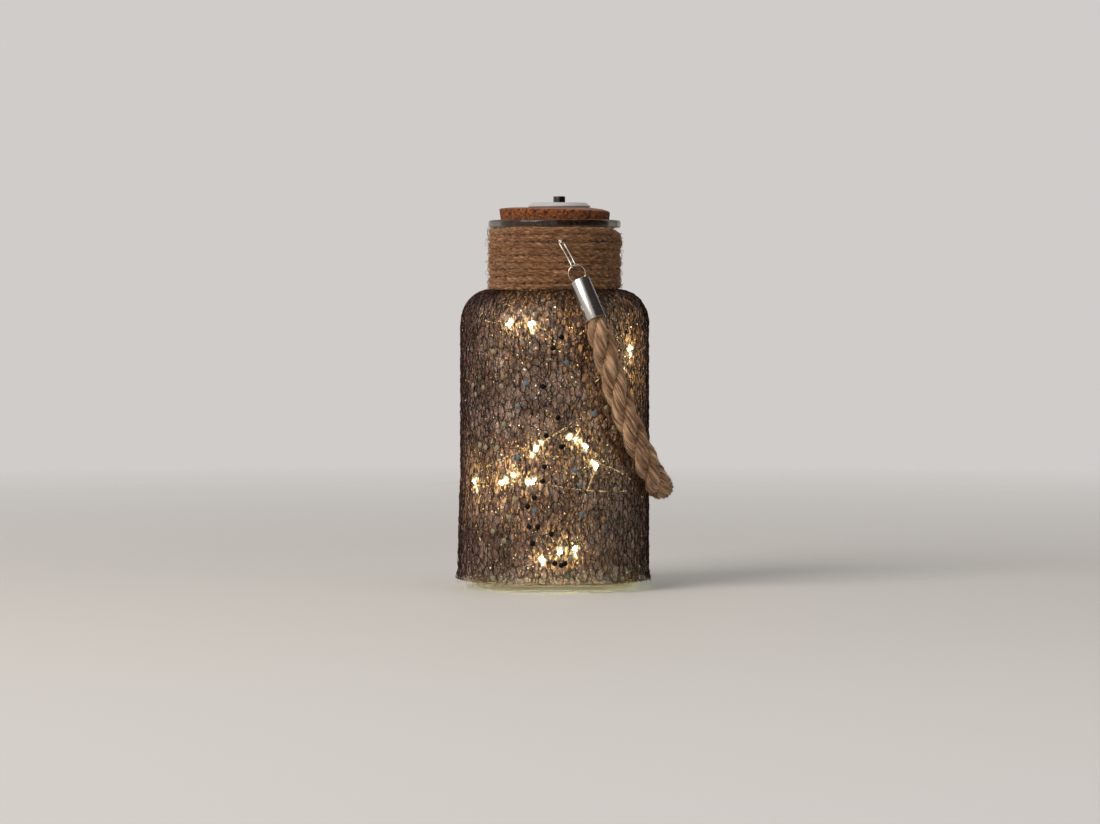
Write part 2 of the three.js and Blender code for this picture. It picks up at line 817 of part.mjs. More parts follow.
// The string hangs from the grommet and lies in loose turns near the glass, clear of the jar's middle
function stringGeometry() {
  const startHeight = moduleFoot - grommetFlangeHeight - 2 * seatGap;
  const start = new THREE.Vector3(moduleAside, fixingRadius, startHeight);
  const places = stringRouteShares.map(([degrees, radiusShare, heightShare, light]) => {
    const angle = radians(degrees - 90);
    const radius = innerRadius * radiusShare;
    return {
      light,
      point: new THREE.Vector3(
        radius * Math.cos(angle),
        radius * Math.sin(angle),
        shoulderStart * heightShare,
      ),
    };
  });
  const curve = smoothCurve([start, ...places.map((place) => place.point)]);
  const wire = sweep(curve, stringSteps, stringSides, () => stringWire / 2);
  const line = curve.getSpacedPoints(stringSteps);
  const lights = places
    .filter((place) => place.light)
    .map(({ point }) => new THREE.IcosahedronGeometry(lightRadius).translate(...nearest(line, point)));
  return joined(wire, ...lights);
}

// The assembly
const group = new THREE.Group();
const jar = new THREE.Group();
const handle = new THREE.Group();
const stopper = new THREE.Group();
const lightModule = new THREE.Group();
group.add(jar, handle, stopper);
stopper.add(lightModule);
handle.position.z = studHeight;
lightModule.position.x = moduleAside;

piece("glass_jar", jarGeometry(), "glass", jar);
piece("mesh_sleeve", sleeveGeometry(), "net", jar);
const twineRings = windingRings();
piece("neck_winding", skin(twineRings), "jute", jar);
piece("collar_wire", collarGeometry(), "steel", jar).position.z = studHeight;

for (const [place, side] of [["front", -1], ["rear", 1]]) {
  const { down, ringMiddle, ringTangent, ferruleTop } = chainFrame(side);
  piece("hook_" + place, linkGeometry(side), "steel", handle);
  const ringShape = new THREE.TorusGeometry((ringOuter - ringWire) / 2, ringWire / 2, 6, 28);
  const ring = piece("ring_" + place, ringShape, "steel", handle);
  ring.position.copy(ringMiddle);
  ring.rotation.x = Math.PI / 2;
  const fitting = new THREE.Group();
  const up = down.clone().negate();
  const through = new THREE.Vector3().crossVectors(up, ringTangent).normalize();
  fitting.quaternion.setFromRotationMatrix(
    new THREE.Matrix4().makeBasis(through, new THREE.Vector3().crossVectors(up, through), up),
  );
  fitting.position.copy(ferruleTop);
  handle.add(fitting);
  piece("ferrule_" + place, ferruleGeometry(), "steel", fitting);
  piece("eye_" + place, eyeGeometry(), "steel", fitting);
}
piece("handle_rope", ropeGeometry(), "jute", handle);

piece("cork_stopper", corkGeometry(), "cork", stopper);
piece("led_housing", housingGeometry(), "white", lightModule);
piece("push_button", buttonGeometry(), "black", lightModule);
piece("switch_body", switchGeometry(), "black", lightModule);
piece("circuit_board", disc(insideRadius, boardFoot, boardThickness, 32), "board", lightModule);
piece("battery_holder", holderGeometry(), "black", lightModule);
const negativeFoot = coverTop + seatGap;
const lowerCell = negativeFoot + contactThickness + contactPost + seatGap;
const upperCell = lowerCell + cellThickness + seatGap;
const positiveFoot = upperCell + cellThickness + seatGap;
piece("coin_cell_lower", disc(cellRadius, lowerCell, cellThickness, 32), "steel", lightModule);
piece("coin_cell_upper", disc(cellRadius, upperCell, cellThickness, 32), "steel", lightModule);
const positive = contactGeometry(positiveFoot, positiveFoot, boardFoot - seatGap);
piece("contact_positive", positive, "steel", lightModule);
const negative = contactGeometry(negativeFoot, negativeFoot, lowerCell - seatGap);
piece("contact_negative", negative, "steel", lightModule);
piece("battery_cover", coverGeometry(), "white", lightModule);
piece("cover_screw_left", screwGeometry(), "steel", lightModule).position.x = -fixingRadius;
piece("cover_screw_right", screwGeometry(), "steel", lightModule).position.x = fixingRadius;
piece("lead_grommet", grommetGeometry(), "rubber", lightModule).position.y = fixingRadius;
piece("led_string", stringGeometry(), "copper", stopper);

console.log("least gap between the twine's rows, mm:", leastGap(twineRings).toFixed(2));

export default group;
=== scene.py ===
# A jar of lights: clear jar, crackled net sleeve, twine-wound neck, cork stopper with its light
# module, a string of tiny lights inside, and a jute rope handle on polished ferrules.
# Metres, +Z up.
import math
import random

import bpy
import numpy as np
from mathutils import Matrix, Vector


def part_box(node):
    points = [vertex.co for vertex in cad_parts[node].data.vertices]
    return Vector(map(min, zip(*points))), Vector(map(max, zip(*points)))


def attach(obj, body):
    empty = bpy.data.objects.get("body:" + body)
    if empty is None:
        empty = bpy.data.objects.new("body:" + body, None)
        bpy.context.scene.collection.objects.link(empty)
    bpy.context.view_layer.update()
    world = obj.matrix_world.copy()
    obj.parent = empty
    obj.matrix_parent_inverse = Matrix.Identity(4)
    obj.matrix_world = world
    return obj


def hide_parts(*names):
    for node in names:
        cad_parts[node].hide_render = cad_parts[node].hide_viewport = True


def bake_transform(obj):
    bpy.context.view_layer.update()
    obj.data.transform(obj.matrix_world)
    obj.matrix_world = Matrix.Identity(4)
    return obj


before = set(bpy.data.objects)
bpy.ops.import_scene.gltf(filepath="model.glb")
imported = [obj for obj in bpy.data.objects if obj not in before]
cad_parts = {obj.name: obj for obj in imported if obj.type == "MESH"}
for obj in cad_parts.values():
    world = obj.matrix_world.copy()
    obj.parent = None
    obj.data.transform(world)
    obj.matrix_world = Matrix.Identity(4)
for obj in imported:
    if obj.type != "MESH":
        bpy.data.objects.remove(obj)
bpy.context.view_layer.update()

MM = 0.001
TAU = 2 * math.pi

# Sizes read from the frame
jar_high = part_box("glass_jar")[1]
JAR_RADIUS = jar_high.x
JAR_HEIGHT = jar_high.z
flange_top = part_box("led_housing")[1].z
string_start_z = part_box("lead_grommet")[0].z

# Glass jar
GLASS_WALL = 2.6 * MM
GLASS_FLOOR = 5.5 * MM
PUNT_HEIGHT = 3 * MM
STANDING_WIDTH = 4 * MM
HEEL_RADIUS = 12 * MM
INNER_HEEL_RADIUS = 9 * MM
NECK_HEIGHT = 40.7 * MM
SHOULDER_HEIGHT = 16.8 * MM
NECK_RADIUS = 33.2 * MM
NECK_FILLET = 2.2 * MM
RIM_OVERHANG = 4 * MM
RIM_HEIGHT = 4.3 * MM
RIM_ROUND = 1.2 * MM
SHOULDER_TOP = JAR_HEIGHT - NECK_HEIGHT
SHOULDER_START = SHOULDER_TOP - SHOULDER_HEIGHT
RIM_FOOT = JAR_HEIGHT - RIM_HEIGHT
INNER_RADIUS = JAR_RADIUS - GLASS_WALL
MOUTH_RADIUS = NECK_RADIUS - GLASS_WALL

# Net sleeve
SEAT_GAP = 0.3 * MM
SLEEVE_WALL = 1.1 * MM
HEM_HEIGHT = 4.9 * MM
HEM_BAND = 7 * MM
HEM_FLARE = 1.3 * MM
NET_COLLAR = 18 * MM
NECK_OFFSET = 0.5 * MM
SLEEVE_RADIUS = JAR_RADIUS + SEAT_GAP + SLEEVE_WALL

# Twine round the neck
TWINE_DIAMETER = 3.2 * MM
TWINE_ROWS = 9
ROWS_BELOW_COLLAR = 7
COLLAR_GROOVE = 1.6 * MM
CLIMB_SHARE = 0.17
WINDING_FOOT = SHOULDER_TOP + SEAT_GAP + SLEEVE_WALL + SEAT_GAP
WINDING_TOP = RIM_FOOT - SEAT_GAP
ROW_PITCH = (WINDING_TOP - WINDING_FOOT - TWINE_DIAMETER - COLLAR_GROOVE) / (TWINE_ROWS - 1)
WINDING_RADIUS = 36.2 * MM
CROSSING_RADIUS = 36.9 * MM
WINDING_OUTER = WINDING_RADIUS + TWINE_DIAMETER / 2
STUD_HEIGHT = (
    WINDING_FOOT + TWINE_DIAMETER / 2 + (ROWS_BELOW_COLLAR - 0.5) * ROW_PITCH + COLLAR_GROOVE / 2
)

# Metal fittings of the handle
COLLAR_WIRE = 1.2 * MM
COLLAR_RADIUS = NECK_RADIUS + SEAT_GAP + COLLAR_WIRE / 2
STUD_DIAMETER = 0.8 * MM
STUD_REACH = 3.9 * MM
STUD_TIP = 1.9 * MM
LINK_WIRE = 0.75 * MM
LINK_STAND_OFF = 2.6 * MM
LINK_HOOK_BACK = 1.2 * MM
RING_OUTER = 10.2 * MM
RING_WIRE = 0.8 * MM
RING_STAND_OFF = 11.6 * MM
RING_ASIDE = 8 * MM
RING_DROP = 17.5 * MM
FERRULE_DIAMETER = 11.4 * MM
FERRULE_LENGTH = 24 * MM
FERRULE_WALL = 0.6 * MM
FERRULE_RECESS = 2.5 * MM
FERRULE_END_WALL = 0.8 * MM
FERRULE_EDGE = 0.22 * MM
FERRULE_LEAN = math.radians(20.9)
FERRULE_TILT = math.radians(18.4)
RING_SEAT = 0.3 * MM
EYE_WIRE = 0.9 * MM
EYE_HALF = RING_WIRE / 2 + SEAT_GAP + EYE_WIRE / 2
EYE_BAR = -FERRULE_RECESS - FERRULE_END_WALL - SEAT_GAP - EYE_WIRE / 2

# Rope handle: each place is an angle from the middle, as a share of a quarter turn round the jar,
# and a height, as a share of the studs' height
ROPE_DIAMETER = 13.5 * MM
ROPE_END_DIAMETER = 9.2 * MM
ROPE_SWELL = 12 * MM
ROPE_GAP = 0.55 * MM
ROPE_ROUTE_SHARES = [
    (0.785, 0.732), (0.738, 0.672), (0.643, 0.544), (0.573, 0.48), (0.491, 0.418), (0.382, 0.357),
    (0.256, 0.31), (0, 0.2905),
]

# Cork stopper, and the light module that sits off its middle
CORK_LENGTH = 17.7 * MM
CORK_INSERTION = 12 * MM
CORK_DOME = 1.3 * MM
CORK_SLANT = 0.95 * MM
CORK_CHAMFER = 0.6 * MM
CORK_DOME_SHARE = 0.58
CORK_TOP_RADIUS = MOUTH_RADIUS + 0.5 * MM
CORK_FOOT_RADIUS = MOUTH_RADIUS - 1.9 * MM
MODULE_RADIUS = 15 * MM
MODULE_ASIDE = 2.6 * MM
MODULE_WALL = 1.2 * MM
MODULE_LENGTH = 23.3 * MM
FLANGE_RADIUS = 17.5 * MM
FLANGE_HEIGHT = 2.5 * MM
FLANGE_EDGE = 0.6 * MM
FLANGE_BEVEL = 2.2 * MM
TOP_PLATE = 1.6 * MM
BUTTON_RADIUS = 3.4 * MM
BUTTON_ROUND = 0.5 * MM
BUTTON_LIP = 1 * MM
BUTTON_LIP_HEIGHT = 0.8 * MM
BUTTON_BORE_RADIUS = 1.5 * MM
BUTTON_BORE_DEPTH = 2.9 * MM
BUTTON_DISH = 0.12 * MM

# Light string: each place is an angle in degrees from the front, counted towards the handle's side,
# a share of the jar's inner radius, a share of the shoulder's start, and 1 where a light sits
STRING_WIRE = 0.55 * MM
LIGHT_RADIUS = 1.05 * MM
LIGHT_HALF_LENGTH = 1.9 * MM
STRING_EXIT_Y = 11.9 * MM
STRING_EXIT_DROP = 0.6 * MM
STRING_ROUTE_SHARES = [
    (181, 0.4, 1.22, 0), (195, 0.52, 1.15, 0), (233, 0.74, 1.082, 0), (279, 0.88, 1.022, 0),
    (320.4, 0.91, 0.995, 1), (339.2, 0.91, 1.002, 1), (361, 0.92, 0.921, 0),
    (380.6, 0.92, 0.982, 0), (426.4, 0.91, 0.905, 1), (472.6, 0.91, 0.82, 1),
    (503, 0.91, 0.766, 0), (513, 0.91, 0.652, 0), (546, 0.92, 0.532, 0), (587, 0.93, 0.462, 0),
    (625, 0.945, 0.412, 0), (638, 0.945, 0.403, 1), (676, 0.94, 0.406, 1),
    (698.8, 0.93, 0.409, 1), (735, 0.92, 0.382, 0), (780, 0.92, 0.372, 0), (825, 0.92, 0.412, 0),
    (875, 0.92, 0.472, 0), (925, 0.92, 0.472, 0), (970, 0.92, 0.432, 0), (1007, 0.91, 0.387, 0),
    (1036, 0.91, 0.422, 0), (1062, 0.9, 0.537, 1), (1075, 0.89, 0.58, 0), (1097.7, 0.9, 0.544, 1),
    (1105.8, 0.91, 0.474, 1), (1100, 0.92, 0.402, 0), (1092.6, 0.93, 0.292, 0),
    (1092, 0.93, 0.212, 0), (1089, 0.93, 0.167, 1), (1079, 0.92, 0.152, 1),
    (1066.4, 0.9, 0.122, 1), (1041, 0.84, 0.09, 0), (1015, 0.87, 0.132, 0),
    (1001, 0.92, 0.232, 0), (1006, 0.93, 0.322, 0), (1013, 0.93, 0.362, 0),
]

# The view: its turn round the jar, and directions from it
CAMERA_TURN = math.radians(-5)
CAMERA_FORWARD = Vector((-math.sin(CAMERA_TURN), math.cos(CAMERA_TURN), 0))
CAMERA_RIGHT = Vector((math.cos(CAMERA_TURN), math.sin(CAMERA_TURN), 0))
CAMERA_PLACE = -CAMERA_FORWARD * 2.163 - CAMERA_RIGHT * 0.0026 + Vector((0, 0, 0.1669))


def facing_view(turn):
    """The level direction from the jar at a turn to the view's right, in degrees."""
    side = math.radians(turn)
    return -CAMERA_FORWARD * math.cos(side) + CAMERA_RIGHT * math.sin(side)


def on_net(turn, height):
    """The place on the net at a turn to the view's right, in degrees, and a height in
    millimetres."""
    return facing_view(turn) * SLEEVE_RADIUS + Vector((0, 0, height * MM))


# Node trees
HALF = (0.5, 0.5, 0.5)
SOCKET_KINDS = {int: "NodeSocketInt", float: "NodeSocketFloat", tuple: "NodeSocketVector"}


def spaced(name):
    return name.replace("_", " ")


def tone(code):
    """Red, green, blue and alpha of a colour as it looks on a screen, in six hexadecimal digits."""
    parts = [int(code[i : i + 2], 16) / 255 for i in (0, 2, 4)]
    return (*[p / 12.92 if p <= 0.04045 else ((p + 0.055) / 1.055) ** 2.4 for p in parts], 1.0)


def is_vector(value):
    if isinstance(value, Value):
        return value.socket.type in ("VECTOR", "RGBA")
    return isinstance(value, tuple)


class Value:
    """What a node gives. Sums and products of values add the nodes that reckon them, and a name in
    square brackets picks one of the node's outputs."""

    def __init__(self, graph, node, name=None):
        self.graph, self.node, self.name = graph, node, name

    @property
    def socket(self):
        return next(s for s in self.node.outputs if s.enabled and self.name in (None, s.name))

    def __getitem__(self, name):
        return Value(self.graph, self.node, name)

    def __add__(self, other):
        return self.graph.math("ADD", self, other)

    def __sub__(self, other):
        return self.graph.math("SUBTRACT", self, other)

    def __rsub__(self, other):
        return self.graph.math("SUBTRACT", other, self)

    def __mul__(self, other):
        if is_vector(self) == is_vector(other):
            return self.graph.math("MULTIPLY", self, other)
        vector, number = (self, other) if is_vector(self) else (other, self)
        return self.graph.math("SCALE", vector, Scale=number)

    def __truediv__(self, other):
        return self.graph.math("DIVIDE", self, other)


class Graph:
    """A node tree built by short calls. Names that start with a capital are inputs, the others
    are the node's own settings, and plain values go to the inputs in order."""

    def __init__(self, tree):
        self.tree = tree

    def add(self, kind, *ordered, **named):
        made = self.tree.nodes.new(kind)
        for name, value in named.items():
            if name[0].islower():
                setattr(made, name, value)
        sockets = [s for s in made.inputs if s.enabled]
        for socket, value in zip(sockets, ordered):
            self.feed(socket, value)
        for name, value in named.items():
            if name[0].isupper():
                self.feed(next(s for s in sockets if s.name == spaced(name)), value)
        return Value(self, made)

    def feed(self, socket, value):
        """Links a value to a socket, or sets the socket to a plain one or to a colour's code."""
        if isinstance(value, Value):
            self.tree.links.new(value.socket, socket)
        else:
            is_code = socket.type == "RGBA" and isinstance(value, str)
            socket.default_value = tone(value) if is_code else value

    def close(self, **results):
        """Ends a group with what it gives."""
        end = self.tree.nodes.new("NodeGroupOutput")
        for label, value in results.items():
            self.feed(end.inputs[label], value)
        return self.tree

    def math(self, operation, *values, **named):
        """Reckons with numbers, or with vectors where one of the values is a vector."""
        kind = "ShaderNodeVectorMath" if any(map(is_vector, values)) else "ShaderNodeMath"
        return self.add(kind, *values, operation=operation, **named)

    def point(self, x=0.0, y=0.0, z=0.0):
        return self.add("ShaderNodeCombineXYZ", x, y, z)

    def polar(self, radius, angle, height):
        """The point at a radius, an angle round the Z axis and a height."""
        x, y = (radius * self.math(ratio, angle) for ratio in ("COSINE", "SINE"))
        return self.point(x, y, height)

    def parts(self, vector):
        return self.add("ShaderNodeSeparateXYZ", vector)

    def mix(self, factor, first, second):
        return self.add("ShaderNodeMix", factor, first, second, data_type="RGBA")

    def remap(self, value, low, high, to_low=0.0, to_high=1.0):
        return self.add("ShaderNodeMapRange", value, low, high, to_low, to_high)

    def noise(self, place, scale, detail=2.0, roughness=0.5):
        settings = {"Scale": scale, "Detail": detail, "Roughness": roughness}
        return self.add("ShaderNodeTexNoise", Vector=place, **settings)

    def cells(self, place, scale, **settings):
        """Uneven cells: a shade for each, and the distance to their edges."""
        named = {"Vector": place, "Scale": scale, **settings}
        edge = self.add("ShaderNodeTexVoronoi", feature="DISTANCE_TO_EDGE", **named)
        inside = self.add("ShaderNodeTexVoronoi", **named)
        return self.add("ShaderNodeSeparateColor", inside["Color"])["Red"], edge


class Growth(Graph):
    """A Geometry Nodes tree that takes a geometry and gives one, with named inputs."""

    def __init__(self, name, **inputs):
        ends = {"Geometry": "NodeSocketGeometry"}
        inputs = {**ends, **inputs, "Material": "NodeSocketMaterial"}
        super().__init__(new_group(name, "GeometryNodeTree", inputs, ends))
        self.given = self.add("NodeGroupInput")

    def end(self, geometry):
        """Ends the tree with real geometry, smooth, with its material."""
        real = self.add("GeometryNodeRealizeInstances", geometry)
        smooth = self.add("GeometryNodeSetShadeSmooth", real)
        material = self.given["Material"]
        return self.close(Geometry=self.add("GeometryNodeSetMaterial", smooth, Material=material))

    def place(self):
        return self.add("GeometryNodeInputPosition")

    def moved(self, geometry, **move):
        return self.add("GeometryNodeSetPosition", geometry, **move)

    def lines(self, count=None, source=None):
        """The carrier's edges, or those of a source, as curves of so many points each."""
        lines = self.add("GeometryNodeMeshToCurve", source or self.given["Geometry"])
        return self.resampled(lines, count) if count else lines

    def resampled(self, lines, count):
        return self.add("GeometryNodeResampleCurve", lines, Count=count, mode="COUNT")

    def circle(self, corners, radius):
        return self.add("GeometryNodeCurvePrimitiveCircle", corners, Radius=radius, mode="RADIUS")

    def threads(self, lines, radius, thickness):
        """Three-sided threads along lines."""
        return self.add("GeometryNodeCurveToMesh", lines, self.circle(3, radius), thickness, True)

    def along(self, measure):
        return self.add("GeometryNodeSplineParameter")[measure]

    def attribute(self, name):
        return self.add("GeometryNodeInputNamedAttribute", name, data_type="FLOAT")

    def store(self, geometry, domain="POINT", **fields):
        for name, value in fields.items():
            kept = {"Name": name, "Value": value, "data_type": "FLOAT", "domain": domain}
            geometry = self.add("GeometryNodeStoreNamedAttribute", geometry, **kept)
        return geometry

    def random(self, low, high, draw=0.0):
        """Random numbers or vectors. Each draw in a tree has its own number."""
        seed = self.given["Seed"] + draw if draw else self.given["Seed"]
        kind = "FLOAT_VECTOR" if is_vector(high) else "FLOAT"
        return self.add("FunctionNodeRandomValue", low, high, Seed=seed, data_type=kind)

    def strewn(self):
        given = {name: self.given[name] for name in ("Density", "Seed")}
        return self.add("GeometryNodeDistributePointsOnFaces", self.given["Geometry"], **given)

    def facing(self, direction):
        return self.add("FunctionNodeAlignRotationToVector", Vector=direction, axis="Z")

    def leaned(self, rotation, lean):
        lean = self.add("FunctionNodeEulerToRotation", lean)
        return self.add("FunctionNodeRotateRotation", rotation, lean, rotation_space="LOCAL")

    def copies(self, places, shape, **named):
        return self.add("GeometryNodeInstanceOnPoints", places, Instance=shape, **named)


def new_group(name, kind, inputs, outputs):
    """An empty node group with its named inputs, each a default value or a kind of socket."""
    tree = bpy.data.node_groups.new(name, kind)
    for label, default in inputs.items():
        kind = SOCKET_KINDS.get(type(default), default)
        socket = tree.interface.new_socket(spaced(label), in_out="INPUT", socket_type=kind)
        if kind != default:
            socket.default_value = default
    for label, kind in outputs.items():
        tree.interface.new_socket(label, in_out="OUTPUT", socket_type=kind)
    return tree


def shown(name, mesh):
    piece = bpy.data.objects.new(name, mesh)
    bpy.context.scene.collection.objects.link(piece)
    return piece


def made_plain(holder):
    """The mesh that an object comes to with its modifiers or as a curve; the object goes."""
    mesh = bpy.data.meshes.new_from_object(
        holder.evaluated_get(bpy.context.evaluated_depsgraph_get())
    )
    bpy.data.objects.remove(holder)
    return mesh


def grow(name, carrier, tree, finish, **values):
    """Runs a tree on a carrier mesh and keeps what it makes as a plain mesh."""
    holder = shown(name + "_carrier", carrier)
    modifier = holder.modifiers.new("growth", "NODES")
    modifier.node_group = tree
    keys = {s.name: s.identifier for s in tree.interface.items_tree if s.in_out == "INPUT"}
    for label, value in {"Material": FINISHES[finish], **values}.items():
        modifier[keys[spaced(label)]] = value
    return shown(name, made_plain(holder))


# Shapes in mesh code
SHARP = math.radians(35)


def held(value):
    return min(1, max(0, value))


def eased(share):
    return share * share * (3 - 2 * share)


def round_place(radius, angle, height):
    return radius * math.cos(angle), radius * math.sin(angle), height


def arc(centre_r, centre_z, radius, start, end, steps, tall=None):
    """Points of an arc, between two angles in degrees. An elliptic one has its own tall radius."""
    tall = radius if tall is None else tall
    angles = [math.radians(start + (end - start) * i / steps) for i in range(steps + 1)]
    return [(centre_r + radius * math.cos(a), centre_z + tall * math.sin(a)) for a in angles]


def plain_mesh(name, places, faces):
    mesh = bpy.data.meshes.new(name)
    mesh.from_pydata([tuple(p) for p in places], [], faces)
    mesh.validate()
    return mesh


def turned(name, outline, sides, closed=False):
    """A shape turned round the Z axis. Its outer walls run upwards in the outline."""
    places, rings = [], []
    for radius, height in outline:
        if radius < 1e-7:
            rings.append([len(places)] * sides)
            places.append((0, 0, height))
            continue
        rings.append(list(range(len(places), len(places) + sides)))
        places += [round_place(radius, TAU * j / sides, height) for j in range(sides)]
    faces = []
    for low, high in zip(rings, rings[1:] + rings[:1] if closed else rings[1:]):
        for j in range(sides):
            k = (j + 1) % sides
            faces.append(list(dict.fromkeys([low[j], low[k], high[k], high[j]])))
    return plain_mesh(name, places, [f for f in faces if len(f) > 2])


def edged(mesh):
    """Smooth faces, with the sharp edges left crisp."""
    mesh.shade_smooth()
    mesh.set_sharp_from_angle(angle=SHARP)
    return mesh


def measured(line):
    """How far along the line each of its points is."""
    steps = np.linalg.norm(np.diff(line, axis=0), axis=1)
    return np.concatenate([[0], np.cumsum(steps)])


def smooth_line(places, count, closed=False):
    """Evenly spaced points on the smooth curve through the places, and its length."""
    p = np.array(places, float)
    if closed:
        p = np.vstack([p[-1:], p, p[:2]])
    else:
        p = np.vstack([2 * p[0] - p[1], p, 2 * p[-1] - p[-2]])
    shares = np.linspace(0, 1, 24, endpoint=False)[:, None]
    runs = []
    for a, b, c, d in zip(p, p[1:], p[2:], p[3:]):
        first, middle, last = (np.linalg.norm(v) ** 0.5 for v in (b - a, c - b, d - c))
        leave = ((b - a) / first - (c - a) / (first + middle) + (c - b) / middle) * middle
        reach = ((c - b) / middle - (d - b) / (middle + last) + (d - c) / last) * middle
        bend, twist = -3 * b + 3 * c - 2 * leave - reach, 2 * b - 2 * c + leave + reach
        runs.append(b + leave * shares + bend * shares**2 + twist * shares**3)
    dense = np.vstack(runs + [p[-2:-1]])
    along = measured(dense)
    wanted = np.linspace(0, along[-1], count + closed)[:count]
    return np.column_stack([np.interp(wanted, along, dense[:, i]) for i in range(3)]), along[-1]


def refined(outline, step):
    """The outline, without its last point, with points added a step apart."""
    fine = []
    for (r0, z0), (r1, z1) in zip(outline, outline[1:]):
        steps = max(1, round(math.hypot(r1 - r0, z1 - z0) / step))
        fine += [(r0 + (r1 - r0) * i / steps, z0 + (z1 - z0) * i / steps) for i in range(steps)]
    return fine


def path_mesh(name, places, **fields):
    """A line of edges that carries one value a point for each field."""
    mesh = bpy.data.meshes.new(name)
    edges = [(i, i + 1) for i in range(len(places) - 1)]
    mesh.from_pydata([tuple(p) for p in places], edges, [])
    for label, values in fields.items():
        field = mesh.attributes.new(label, "FLOAT", "POINT")
        field.data.foreach_set("value", np.array(values, np.float32))
    return mesh


def wall_outline(offset):
    """The jar's outer wall from the shoulder's start to the neck, moved outwards by an offset."""
    middle = NECK_RADIUS + NECK_FILLET
    across, tall = JAR_RADIUS - middle + offset, SHOULDER_HEIGHT + offset
    shoulder = arc(middle, SHOULDER_START, across, 0, 84, 14, tall)
    return shoulder + arc(middle, SHOULDER_TOP + NECK_FILLET, NECK_FILLET - offset, 270, 180, 4)


def glass_jar():
    ring = JAR_RADIUS - HEEL_RADIUS
    punt = ring - STANDING_WIDTH
    bead_low = RIM_FOOT + RIM_ROUND
    bead_high = JAR_HEIGHT - RIM_ROUND
    bead = NECK_RADIUS + RIM_OVERHANG - RIM_ROUND
    inner_heel = (INNER_RADIUS - INNER_HEEL_RADIUS, GLASS_FLOOR + INNER_HEEL_RADIUS)
    outline = [
        *[(r, PUNT_HEIGHT * (1 - (r / punt) ** 2)) for r in [punt * i / 8 for i in range(8)]],
        *arc(punt, RIM_ROUND / 2, RIM_ROUND / 2, 250, 270, 2),
        *arc(ring, HEEL_RADIUS, HEEL_RADIUS, 270, 360, 12),
        *wall_outline(0),
        *arc(NECK_RADIUS + RIM_ROUND, RIM_FOOT - RIM_ROUND, RIM_ROUND, 180, 90, 4),
        *arc(bead, bead_low, RIM_ROUND, 270, 360, 6),
        *arc(bead, bead_high, RIM_ROUND, 0, 90, 6),
        *arc(MOUTH_RADIUS + RIM_ROUND, bead_high, RIM_ROUND, 90, 180, 6),
        *wall_outline(-GLASS_WALL)[::-1],
        *arc(*inner_heel, INNER_HEEL_RADIUS, 0, -90, 10),
        (0, GLASS_FLOOR),
    ]
    return dressed(shown("jar_glass", edged(turned("jar_glass", outline, 160))), "glass")


def net_section(offset):
    """The net's line up the jar, from its hem to the top of its collar, at an offset from the
    glass."""
    flared = [
        (JAR_RADIUS + offset + HEM_FLARE * (1 - i / 5) ** 2, HEM_HEIGHT + HEM_BAND * i / 5)
        for i in range(5)
    ]
    neck = NECK_RADIUS + min(offset, NECK_OFFSET)
    start = SHOULDER_TOP + NECK_FILLET
    climb = [(neck, start + (WINDING_FOOT + NET_COLLAR - start) * i / 4) for i in range(1, 5)]
    return flared + wall_outline(offset) + climb


def section_length(offset):
    line = np.array(net_section(offset))
    return float(np.linalg.norm(np.diff(line, axis=0), axis=1).sum())


# Geometry trees
def on_section(tree, place, radial):
    """Moves a place on a straight tube, centred on the origin, onto the net's section."""
    parts = tree.parts(place)
    angle = tree.math("ARCTAN2", parts["Y"], parts["X"])
    length = parts["Z"] + tree.given["Height"] / 2.0
    sample = tree.add("GeometryNodeSampleCurve", Curves=tree.lines(), Length=length, mode="LENGTH")
    spot, run = tree.parts(sample["Position"]), tree.parts(sample["Tangent"])
    radius = tree.math("MULTIPLY_ADD", run["Z"], radial, spot["X"])
    return tree.polar(radius, angle, spot["Z"] - run["X"] * radial)


def laid_on_jar(tree, lines, wander_scale, grain_scale, thin, thick):
    """Makes uneven threads of lines on a tube. Smooth noise pushes them sideways and up or down,
    they stand off the jar unevenly, and they hang looser at the hem on the net's loose side."""
    given = tree.given
    place = tree.place()
    moved = place + tree.point(z=given["Seed"] * 3.7)
    push = tree.parts(tree.noise(moved, wander_scale, 1.0)["Color"] - HALF)
    turn = push["X"] * given["Wander"] / given["Radius"]
    turned_place = tree.add("ShaderNodeVectorRotate", place, Angle=turn, rotation_type="Z_AXIS")
    placed = turned_place + tree.point(z=push["Y"] * given["Wander"])
    foot = given["Height"] * -0.5
    low = tree.remap(tree.parts(place)["Z"], foot + given["Height"] * 0.3, foot)
    aside = tree.math("DOT_PRODUCT", tree.math("NORMALIZE", place), tuple(-CAMERA_RIGHT))
    loose = low * tree.remap(aside, 0.2, 0.7) * given["Loose"]
    radial = push["Z"] * given["Loft"] + loose
    laid = tree.moved(lines, Position=on_section(tree, placed, radial))
    thickness = tree.remap(tree.noise(tree.place(), grain_scale), 0.35, 0.65, thin, thick)
    return tree.end(tree.threads(laid, given["Thread Radius"], thickness))


